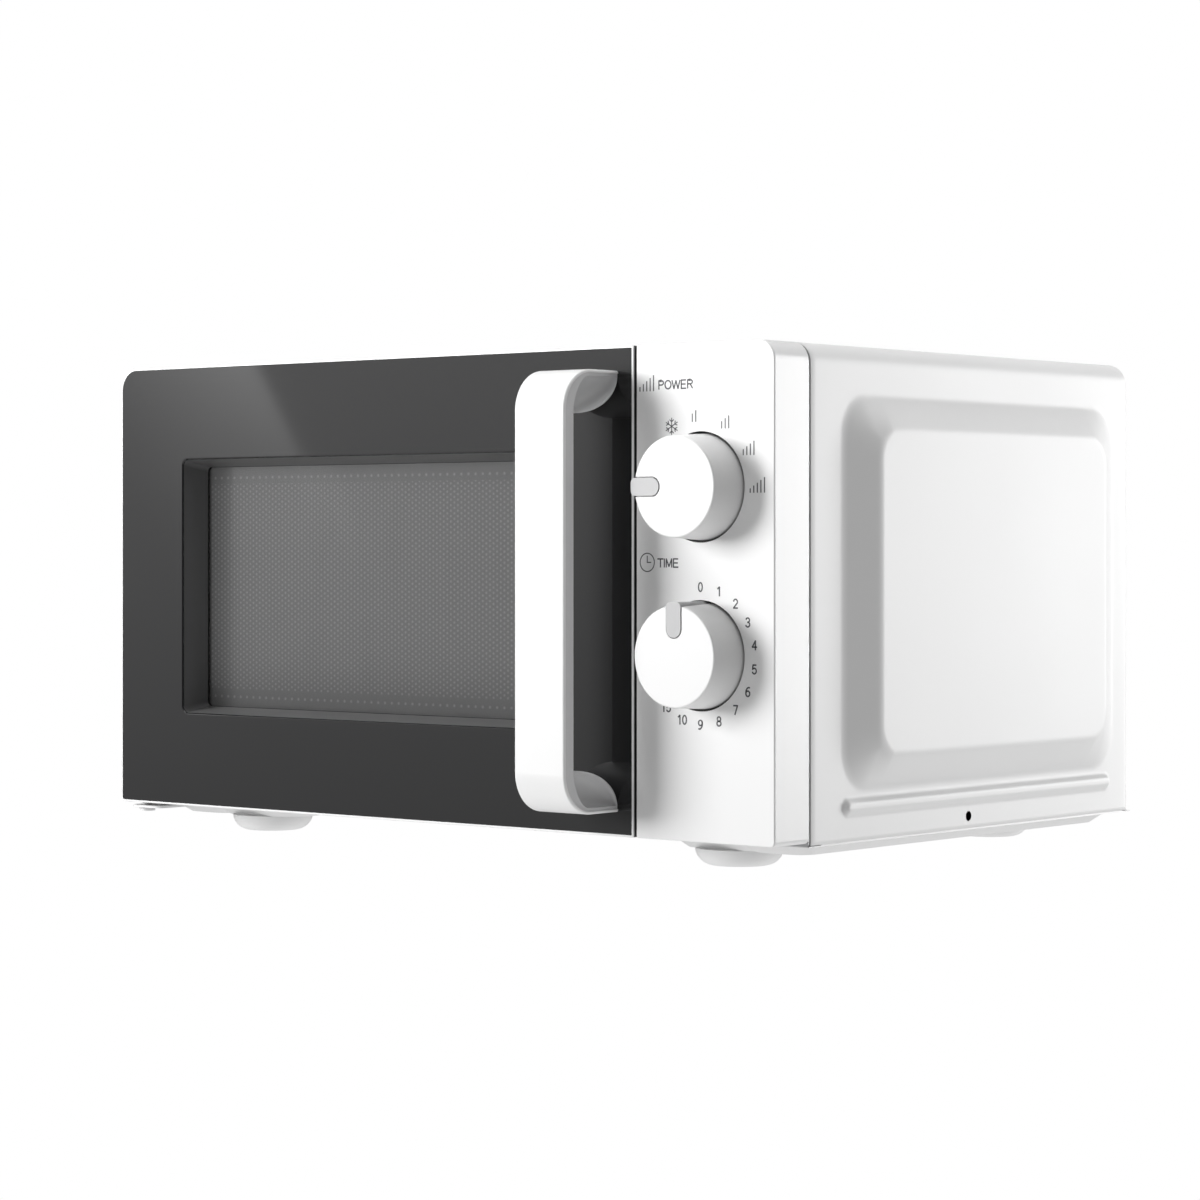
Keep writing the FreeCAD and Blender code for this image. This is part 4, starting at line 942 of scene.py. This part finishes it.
@dataclass
class Handle:
    """The bar handle: a white outer strip bent over a grey inner bar, whose ends are scooped gussets."""

    x0: float = 324.5
    x1: float = 356.1
    low: float = 12.0
    high: float = 226.0
    reach: float = 40.4
    bend: float = 20.0
    strip: float = 1.4
    liner: float = 6.2
    arm_liner: float = 1.6
    gusset_height: float = 19.0
    scoop: float = 6.5
    rim_share: float = 0.06
    inset: float = 0.5

    def path(self, offset: float, steps: int = 14) -> tuple[np.ndarray, np.ndarray]:
        """Side view of the bar: straight out of the door, a quarter circle, down the front and back in.

        Args:
            offset: how far inside the handle's outer face.
            steps: divisions of each quarter circle.

        Returns:
            The points as (n, 2) of y and z, and their outward normals.
        """
        radius = self.bend - offset
        front, z0, z1 = -self.reach + offset, self.low + offset, self.high - offset
        turn = np.linspace(0, math.pi / 2, steps + 1)
        top = np.stack([front + radius - radius * np.sin(turn), z1 - radius + radius * np.cos(turn)], 1)
        top_n = np.stack([-np.sin(turn), np.cos(turn)], 1)
        bottom = top[::-1] * [1, -1] + [0, z0 + z1]
        bottom_n = top_n[::-1] * [1, -1]
        points = np.concatenate([[[0.0, z1]], top, bottom, [[0.0, z0]]])
        normals = np.concatenate([[[0.0, 1.0]], top_n, bottom_n, [[0.0, -1.0]]])
        return points, normals

    def strip_section(self, x0: float, x1: float, thickness: float, edge: float) -> np.ndarray:
        """Cross-section of a flat bar: x across and depth below the outer face, with rounded outer edges.

        Args:
            x0: one side.
            x1: the other side.
            thickness: of the bar.
            edge: radius of the two outer edges.

        Returns:
            A closed (n, 2) outline.
        """
        turn = np.linspace(0, math.pi / 2, 6)
        left = np.stack([x0 + edge * (1 - np.cos(turn)), edge * (1 - np.sin(turn))], 1)
        right = np.stack([x1 - edge * (1 - np.sin(turn)), edge * (1 - np.cos(turn))], 1)
        return np.concatenate([[[x0, thickness]], left, right, [[x1, thickness]]])

    def taper(self, depth: np.ndarray) -> np.ndarray:
        """The grey bar's thickness along the path: full down the front, thin on the two arms.

        The share falls with how far a point has come back from the front, over the bend, as a cosine.

        Args:
            depth: how far each point is behind the handle's outer face.

        Returns:
            Thicknesses in millimetres.
        """
        share = 0.5 + 0.5 * np.cos(math.pi * np.clip(depth / self.bend, 0, 1))
        return self.arm_liner + (self.liner - self.arm_liner) * share

    def swept(self, section: np.ndarray, base: float, tapered: bool = False) -> np.ndarray:
        """Carries a section along the handle's path, each point below the outer face along the path's normal.

        Args:
            section: a closed outline of x and depth.
            base: depth of the section's outer side.
            tapered: whether the section thins on the arms as the grey bar does.

        Returns:
            A (step, point, 3) grid.
        """
        points, normals = self.path(base)
        depth = np.broadcast_to(section[None, :, 1], (len(points), len(section)))
        if tapered:
            depth = depth * (self.taper(points[:, :1] + self.reach) / self.liner)
        grid = np.zeros((len(points), len(section), 3))
        grid[..., 0] = section[None, :, 0]
        grid[..., 1] = points[:, None, 0] - normals[:, None, 0] * depth
        grid[..., 2] = points[:, None, 1] - normals[:, None, 1] * depth
        return grid

    def gusset(self, top: bool) -> Surface:
        """A dished web in the corner between bar and door.

        Its side view is what lies between the bar's inner face and a quarter ellipse from the bar to the
        door. Each side face dips by the scoop's depth times the square root of 4 s (1 - s), where s goes
        across the web, and times the sine of the way along it, so the bowl closes at both ends.

        Args:
            top: the upper one, or the lower one.

        Returns:
            The closed surface.
        """
        points, normals = self.path(self.strip)
        half = len(points) // 2
        points, normals = points[:half][::-1], normals[:half][::-1]
        under = (self.taper(points[:, 0] + self.reach) - self.inset)[:, None]
        inner = points - normals * under
        arm = np.linspace(0, 1, 11)[1:, None]
        bar = np.concatenate([inner[:-1], inner[-2] * (1 - arm) + inner[-1] * arm])
        y_e = inner[0, 0]
        angle = np.linspace(0, 1, len(bar)) ** 0.85 * math.pi / 2
        edge = np.stack([y_e * (1 - np.sin(angle)), bar[-1, 1] - self.gusset_height * np.cos(angle)], 1)
        edge[:, 1] = np.minimum(edge[:, 1], bar[:, 1])
        s = np.linspace(0, 1, 25)[:, None]
        y = bar[:, 0] * (1 - s) + edge[:, 0] * s
        z = bar[:, 1] * (1 - s) + edge[:, 1] * s
        inside = np.clip(s / (1 - self.rim_share), 0, 1)
        along = np.linspace(0.12, 0.97, len(bar))
        dip = self.scoop * np.sqrt(4 * inside * (1 - inside)) * np.sin(math.pi * along) ** 0.6
        if not top:
            z = self.low + self.high - z
        right = np.stack([self.x1 - self.inset - dip, y, z], -1)
        left = np.stack([self.x0 + self.inset + dip, y, z], -1)
        return Surface(np.concatenate([right, left[::-1]], 0), loop_rows=True, loop_columns=False, flip=top)

    def build(self) -> None:
        """Strip, bar and gussets."""
        cover = self.strip_section(self.x0, self.x1, self.strip, 1.1)
        strip = Surface(self.swept(cover, 0.0), cap_first=True, cap_last=True, flip=True)
        make_piece("handle_strip", [strip], WHITE_PLASTIC, "door", ("handle_cover",), 40)
        bar = self.strip_section(self.x0 + self.inset, self.x1 - self.inset, self.liner, 0.35)
        surfaces = [Surface(self.swept(bar, self.strip, True), cap_first=True, cap_last=True, flip=True)]
        surfaces += [self.gusset(True), self.gusset(False)]
        make_piece("handle_bar", surfaces, SILVER_PLASTIC, "door", ("handle_liner",), 40)


# ---- control panel --------------------------------------------------------------------------------
@dataclass
class Knob:
    """A round control knob with an inlaid pointer, and the dial that is printed round it."""

    name: str
    z: float
    x: float = DIAL_X

    def on_dial(self, degrees: float, radius: float) -> tuple[float, float]:
        """A point round the knob, clockwise from twelve o'clock."""
        angle = math.radians(degrees)
        return self.x + radius * math.sin(angle), self.z + radius * math.cos(angle)

    def dress(self) -> None:
        """Finishes of the knob's CAD pieces."""
        dress(KNOB_WHITE, f"{self.name}_knob")
        dress(POINTER_PLASTIC, f"{self.name}_pointer")
        dress(PLATED, f"{self.name}_shaft")


def arc(cx: float, cy: float, rx: float, ry: float, start: float, end: float, steps: int = 12) -> list:
    """Points on part of an ellipse, by angle in degrees, counter-clockwise from +x."""
    turn = np.radians(np.linspace(start, end, steps + 1))
    return [(cx + rx * math.cos(t), cy + ry * math.sin(t)) for t in turn]


# Strokes of the figures and letters that the dials use, in a box that is one unit high.
P_BOWL = arc(0.36, 0.72, 0.22, 0.24, 90, -90, 8)
R_BOWL = arc(0.38, 0.73, 0.21, 0.23, 90, -90, 8)
STROKES: dict[str, list[list[tuple[float, float]]]] = {
    "0": [arc(0.28, 0.5, 0.24, 0.46, 0, 360, 24)],
    "1": [[(0.12, 0.78), (0.34, 0.96), (0.34, 0.02)]],
    "2": [arc(0.29, 0.70, 0.24, 0.26, 170, -35, 12) + [(0.04, 0.04), (0.55, 0.04)]],
    "3": [arc(0.28, 0.73, 0.22, 0.23, 160, -90, 12), arc(0.28, 0.27, 0.25, 0.25, 90, -160, 12)],
    "4": [[(0.42, 0.02), (0.42, 0.96), (0.03, 0.30), (0.58, 0.30)]],
    "5": [[(0.50, 0.95), (0.12, 0.95), (0.07, 0.50)] + arc(0.28, 0.33, 0.25, 0.29, 140, -155, 14)],
    "6": [arc(0.29, 0.31, 0.24, 0.28, 0, 360, 20), arc(0.42, 0.40, 0.37, 0.56, 195, 75, 10)],
    "7": [[(0.04, 0.95), (0.54, 0.95), (0.22, 0.02)]],
    "8": [arc(0.28, 0.73, 0.21, 0.23, 0, 360, 20), arc(0.28, 0.26, 0.25, 0.25, 0, 360, 20)],
    "9": [arc(0.28, 0.68, 0.24, 0.28, 0, 360, 20), arc(0.15, 0.59, 0.37, 0.56, 15, -105, 10)],
    "P": [[(0.06, 0.02), (0.06, 0.96), (0.36, 0.96)] + P_BOWL + [(0.06, 0.48)]],
    "O": [arc(0.38, 0.49, 0.34, 0.47, 0, 360, 24)],
    "W": [[(0.0, 0.96), (0.22, 0.02), (0.45, 0.92), (0.68, 0.02), (0.90, 0.96)]],
    "E": [[(0.56, 0.96), (0.06, 0.96), (0.06, 0.02), (0.58, 0.02)], [(0.06, 0.50), (0.52, 0.50)]],
    "R": [[(0.06, 0.02), (0.06, 0.96), (0.38, 0.96)] + R_BOWL + [(0.06, 0.50)],
          [(0.34, 0.50), (0.60, 0.02)]],
    "T": [[(0.0, 0.95), (0.62, 0.95)], [(0.31, 0.95), (0.31, 0.02)]],
    "I": [[(0.06, 0.02), (0.06, 0.96)]],
    "M": [[(0.06, 0.02), (0.06, 0.96), (0.37, 0.10), (0.68, 0.96), (0.68, 0.02)]],
}
FIGURE_ADVANCE = 0.66
ADVANCE = {"P": 0.72, "O": 0.84, "W": 1.0, "E": 0.72, "R": 0.76, "T": 0.70, "I": 0.22, "M": 0.82}


def ribbon(points: list[tuple[float, float]], width: float, thickness: float = 0.06) -> Surface:
    """A flat ink stroke on the front face: the path offset by half its width to each side, a hair thick.

    Args:
        points: the path in bench x and z.
        width: of the stroke.
        thickness: how far it stands out.

    Returns:
        A closed surface.
    """
    path = np.asarray(points, float)
    step = np.diff(path, axis=0)
    step /= np.maximum(np.linalg.norm(step, axis=1, keepdims=True), 1e-9)
    closed = np.allclose(path[0], path[-1])
    before = np.concatenate([step[-1:] if closed else step[:1], step])
    after = np.concatenate([step, step[:1] if closed else step[-1:]])
    tangent = before + after
    tangent /= np.maximum(np.linalg.norm(tangent, axis=1, keepdims=True), 1e-9)
    normal = np.stack([-tangent[:, 1], tangent[:, 0]], 1)
    stretch = 1 / np.maximum(np.sum(tangent * after, axis=1), 0.5)
    half = (width / 2 * stretch)[:, None] * normal
    if not closed:
        path = path.copy()
        path[0] -= step[0] * width * 0.25
        path[-1] += step[-1] * width * 0.25
    sides = [path + half, path - half]
    corners = [(sides[0], 0.0), (sides[0], -thickness), (sides[1], -thickness), (sides[1], 0.0)]
    grid = np.stack([np.stack([p[:, 0], np.full(len(p), y), p[:, 1]], 1) for p, y in corners], 1)
    return Surface(grid, cap_first=True, cap_last=True)


def segments(points: list[tuple[float, float]]) -> list[list[tuple[float, float]]]:
    """A path cut where it turns by more than 60 degrees, so that no corner of its ribbon has a long point.

    The turn's cosine is the product of two neighbouring steps over their lengths. Two points in one place
    have no direction between them, so they are never a corner.

    Args:
        points: the path in bench x and z.

    Returns:
        The runs between sharp corners, each with both of its ends.
    """
    step = np.diff(np.asarray(points, float), axis=0)
    length = np.linalg.norm(step, axis=1)
    lengths = length[1:] * length[:-1]
    cosine = np.sum(step[1:] * step[:-1], axis=1) / np.maximum(lengths, 1e-12)
    sharp = np.flatnonzero((cosine < 0.5) & (lengths > 0)) + 1
    ends = [0, *sharp.tolist(), len(points) - 1]
    return [points[first:last + 1] for first, last in zip(ends, ends[1:])]


def lettering(text: str, x: float, z: float, height: float, wide: float = 1.0, centred: bool = False,
              weight: float = 0.165) -> list[Surface]:
    """A word or number in ink strokes.

    Args:
        text: characters that STROKES has.
        x: left edge, or middle if centred.
        z: middle height.
        height: of a character.
        wide: how much wider than its drawn shape a character is.
        centred: whether x is the middle.
        weight: stroke width as a share of the height.

    Returns:
        One surface per stroke.
    """
    total = sum(ADVANCE.get(c, FIGURE_ADVANCE) for c in text) * height * wide
    at = x - total / 2 + 0.05 * height if centred else x
    strokes = []
    for character in text:
        for stroke in STROKES[character]:
            placed = [(at + u * height * wide, z + (v - 0.5) * height) for u, v in stroke]
            strokes += [ribbon(part, weight * height) for part in segments(placed)]
        at += ADVANCE.get(character, FIGURE_ADVANCE) * height * wide
    return strokes


@dataclass
class ControlPanel:
    """The white panel with its two knobs and its printed dials."""

    figure_radius: float = 32.7
    symbol_radius: float = 34.0
    figure_height: float = 4.5
    word_height: float = 4.2
    word_width: float = 1.28
    figures: tuple[int, ...] = (*range(10), 10, 15, 20, 25, 30)
    figure_step: float = 20.0
    levels: tuple[tuple[float, int], ...] = ((89, 5), (58, 4), (26, 3), (-6.5, 2), (-62, 1))
    snowflake_degrees: float = -31.0
    clock: tuple[float, float] = (374.3, 133.1)
    clock_radius: float = 4.4
    bar_width: float = 0.62
    fine_width: float = 0.46
    clock_width: float = 0.5
    power: Knob = field(default_factory=lambda: Knob("power", POWER_Z))
    timer: Knob = field(default_factory=lambda: Knob("timer", TIMER_Z))

    def bars(self, count: int, x: float, z: float, tall: float, pitch: float = 2.1) -> list[Surface]:
        """Rising bars, evenly taller from left to right.

        Args:
            count: how many.
            x: middle of the group.
            z: its base line.
            tall: height of the last bar.
            pitch: distance between bars.

        Returns:
            One surface per bar.
        """
        left = x - (count - 1) * pitch / 2
        heights = tall * np.linspace(1 - 0.15 * count, 1, count)
        lines = [[(left + n * pitch, z), (left + n * pitch, z + h)] for n, h in enumerate(heights)]
        return [ribbon(line, self.bar_width) for line in lines]

    def snowflake(self, x: float, z: float, radius: float = 4.0) -> list[Surface]:
        """Six arms, each with a pair of barbs."""
        strokes = []
        for n in range(6):
            angle = math.radians(60 * n + 30)
            along = np.array([math.cos(angle), math.sin(angle)])
            strokes.append([(x, z), tuple(np.array([x, z]) + along * radius)])
            knee = np.array([x, z]) + along * radius * 0.55
            for side in (-1, 1):
                barb = math.radians(60 * n + 30 + side * 50)
                tip = knee + np.array([math.cos(barb), math.sin(barb)]) * radius * 0.38
                strokes.append([tuple(knee), tuple(tip)])
        return [ribbon(s, self.fine_width) for s in strokes]

    def build(self) -> None:
        """The printed marks of both dials."""
        timer = []
        for n, figure in enumerate(self.figures):
            x, z = self.timer.on_dial(n * self.figure_step, self.figure_radius)
            timer += lettering(str(figure), x, z, self.figure_height, 1.05, centred=True)
        x, z = self.clock
        circle = arc(x, z, self.clock_radius, self.clock_radius, 0, 360, 32)
        hands = [(x, z + 3.1), (x, z), (x + 2.3, z)]
        timer += [ribbon(path, self.clock_width) for path in (circle, hands)]
        timer += lettering("TIME", 380.8, 132.9, self.word_height, self.word_width)
        make_piece("timer_marks", timer, INK, "cabinet")
        power = self.bars(5, 374.0, 215.6, 7.4)
        power += lettering("POWER", 381.2, 218.3, self.word_height, self.word_width)
        for degrees, count in self.levels:
            x, z = self.power.on_dial(degrees, self.symbol_radius)
            tall = 4.2 + 0.55 * count
            power += self.bars(count, x, z - tall / 2, tall)
        power += self.snowflake(*self.power.on_dial(self.snowflake_degrees, self.symbol_radius))
        make_piece("power_marks", power, INK, "cabinet")

    def dress(self) -> None:
        """Finishes of the panel, its knobs and the units behind it."""
        dress(PANEL_PLASTIC, "control_panel")
        for knob in (self.power, self.timer):
            knob.dress()
        dress(ZINC, "panel_bracket", "timer_unit")
        dress(BLACK_PLASTIC, "power_selector")


# ---- inside ---------------------------------------------------------------------------------------
@dataclass
class CookingSpace:
    """The cavity and what stands in it."""

    def dress(self) -> None:
        """Finishes of the cavity, the turntable and the rollers."""
        dress(CAVITY_PAINT, "cavity")
        dress(MICA, "waveguide_cover")
        dress(TRAY_GLASS, "glass_tray")
        dress(GREY_PLASTIC, "turntable_coupler", "roller_ring", "roller_1", "roller_2", "roller_3")


@dataclass
class Machinery:
    """Everything in the compartment behind the control panel, and the latch board."""

    def dress(self) -> None:
        """Finishes of the electrical parts."""
        dress(ZINC, "waveguide", "component_tray", "lamp_holder", "turntable_motor", "thermal_cutouts")
        dress(ALUMINIUM, "magnetron", "capacitor")
        dress(IRON_CORE, "transformer_core", "fan_motor")
        dress(COPPER_WIRE, "transformer_windings")
        dress(BLACK_PLASTIC, "diode", "lower_switch", "upper_switch")
        dress(GREY_PLASTIC, "fan_shroud", "fan_blade", "latch_board")
        dress(LAMP_GLASS, "lamp_bulb")
        dress(BOARD, "noise_filter")
        dress(RED_PLASTIC, "lower_switch_plunger", "upper_switch_plunger")


# ---- studio ---------------------------------------------------------------------------------------
@dataclass
class Studio:
    """Camera, lights, backdrop and floor."""

    camera_at: tuple[float, float, float] = (1.1890, -1.4168, 0.1588)
    yaw_degrees: float = 39.97
    lens: float = 102.6
    horizon_shift: float = -0.049
    ambient: float = 0.22
    from_below: float = 1.05
    key_watts: float = 84.0
    side_watts: float = 62.0
    top_watts: float = 26.0
    card_y: float = -1.2
    card_z: tuple[float, float] = (-0.12, 0.33)
    card_levels: tuple[float, float] = (0.66, 1.22)
    slant_start: tuple[float, float] = (-1.203, 0.329)
    slant_run: float = -0.66
    slant_width: float = 0.27
    slant_heights: tuple[float, float] = (0.10, 0.33)
    slant_level: float = 1.8
    flag_x: tuple[float, float] = (-0.785, -0.738)
    flag_z: tuple[float, float] = (-0.08, 0.305)

    def camera(self) -> None:
        """A level camera, front right, with a small downward shift."""
        data = bpy.data.cameras.new("camera")
        data.lens, data.sensor_width = self.lens, 36.0
        data.shift_y = self.horizon_shift
        data.clip_start, data.clip_end = 0.05, 50.0
        camera = bpy.data.objects.new("camera", data)
        camera.location = self.camera_at
        camera.rotation_euler = (math.pi / 2, 0.0, math.radians(self.yaw_degrees))
        bpy.context.scene.collection.objects.link(camera)
        bpy.context.scene.camera = camera

    def soft_box(self, name: str, at: tuple[float, float, float], size: tuple[float, float], watts: float,
                 aim: tuple[float, float, float] = (0.0, 0.0, 0.12)) -> None:
        """An area light that looks at a point.

        Args:
            name: of the light.
            at: its place in metres.
            size: width and height in metres.
            watts: its power.
            aim: what it looks at.
        """
        data = bpy.data.lights.new(name, "AREA")
        data.shape, data.size, data.size_y, data.energy = "RECTANGLE", size[0], size[1], watts
        light = bpy.data.objects.new(name, data)
        light.location = at
        towards = np.array(aim) - np.array(at)
        flat = math.hypot(towards[0], towards[1])
        light.rotation_euler = (math.atan2(flat, -towards[2]), 0.0, math.atan2(-towards[0], towards[1]))
        bpy.context.scene.collection.objects.link(light)

    def backdrop(self) -> None:
        """A plain white world, dimmer as a light than it looks, and a pale floor.

        The floor itself casts no light: the world's lower part stands for its bounce.
        """
        world = bpy.data.worlds.new("studio")
        world.use_nodes = True
        graph = Graph(world.node_tree, "ShaderNodeOutputWorld")
        seen = graph.node("ShaderNodeLightPath", out="Is Camera Ray")
        direction = graph.node("ShaderNodeTexCoord", out="Generated")
        split = graph.node("ShaderNodeSeparateXYZ", inputs={0: direction})
        level = Expr(graph, split.socket.node.outputs[2]).ramp(-0.75, -0.25, self.from_below, self.ambient)
        strength = seen + (1 - seen) * level
        graph.finish(graph.node("ShaderNodeBackground", inputs={"Color": (1, 1, 1, 1), "Strength": strength}))
        bpy.context.scene.world = world
        side = 6.0
        corners = np.array([(-side, -side, 0), (side, -side, 0), (side, side, 0), (-side, side, 0)])
        floor = self.sheet("floor", corners)
        self.glow(floor, lambda graph: graph.node("ShaderNodeEmission", inputs={"Color": (1, 1, 1, 1)}))
        floor.visible_diffuse = floor.visible_glossy = False

    def sheet(self, name: str, corners: np.ndarray) -> bpy.types.Object:
        """A flat stage piece.

        Args:
            name: of the piece.
            corners: its four corners in metres.

        Returns:
            The object, marked as not part of the oven.
        """
        mesh = bpy.data.meshes.new(name)
        mesh.from_pydata(corners.tolist(), [], [(0, 1, 2, 3)])
        made = bpy.data.objects.new(name, mesh)
        bpy.context.scene.collection.objects.link(made)
        made.visible_shadow = False
        return made

    def glow(self, piece: bpy.types.Object, paint: Callable[[Graph], Expr]) -> None:
        """Gives a stage piece a light of its own.

        Args:
            piece: the stage piece.
            paint: makes its shader on a graph.
        """
        material = bpy.data.materials.new(f"{piece.name}_light")
        material.use_nodes = True
        graph = Graph(material.node_tree)
        graph.finish(paint(graph))
        piece.data.materials.append(material)

    def reflector(self) -> None:
        """A card at the front left that only shows in gloss: brighter upwards, with a lighter slanting panel.

        A soft-edged black flag in front of it keeps the closing edge of the door dark.
        """
        y, left, right, low, high = self.card_y, -3.2, 0.6, -1.2, 1.6
        corners = np.array([(left, y, low), (right, y, low), (right, y, high), (left, y, high)])
        card = self.sheet("reflector", corners)
        card.visible_camera = card.visible_diffuse = card.visible_transmission = False

        def light(graph: Graph) -> Expr:
            """Brightness rises with height. Left of the slant it adds more, fading left and downwards."""
            split = graph.node("ShaderNodeSeparateXYZ", inputs={0: graph.place()})
            x, z = split, Expr(graph, split.socket.node.outputs[2])
            base = z.ramp(*self.card_z, *self.card_levels)
            left = (z - self.slant_start[1]) * self.slant_run + self.slant_start[0] - x
            inside = left.ramp(-0.004, 0.004)
            fade = left.ramp(0.0, self.slant_width, 1.0, 0.0) * z.ramp(*self.slant_heights)
            flag = x.ramp(*self.flag_x) * z.ramp(self.flag_z[0] - 0.02, self.flag_z[0] + 0.02)
            flag = flag * z.ramp(self.flag_z[1] - 0.01, self.flag_z[1] + 0.01, 1.0, 0.0)
            return graph.node("ShaderNodeEmission", inputs={
                "Color": (1, 1, 1, 1),
                "Strength": (base + inside * (fade ** 1.2) * self.slant_level) * (1 - flag)})

        self.glow(card, light)

    def build(self) -> None:
        """Everything that isn't the oven."""
        self.camera()
        self.backdrop()
        self.reflector()
        self.soft_box("key_front_left", (-1.75, -2.1, 0.80), (1.3, 1.3), self.key_watts)
        self.soft_box("side_rear_right", (1.45, 2.5, 0.35), (1.2, 1.2), self.side_watts)
        self.soft_box("top", (0.0, 0.0, 1.9), (1.4, 1.4), self.top_watts)
        view = bpy.context.scene.view_settings
        view.view_transform = "Standard"
        view.look = "None"


def main() -> None:
    """Builds and dresses the oven, then the studio."""
    logging.basicConfig(level=logging.INFO, format="%(name)s %(message)s")
    hood, door, handle, panel = Hood(), Door(), Handle(), ControlPanel()
    for assembly in (hood, door, handle, panel):
        assembly.build()
    for assembly in (hood, door, panel, CookingSpace(), Machinery()):
        assembly.dress()
    Studio().build()


if __name__ == "__main__":
    main()
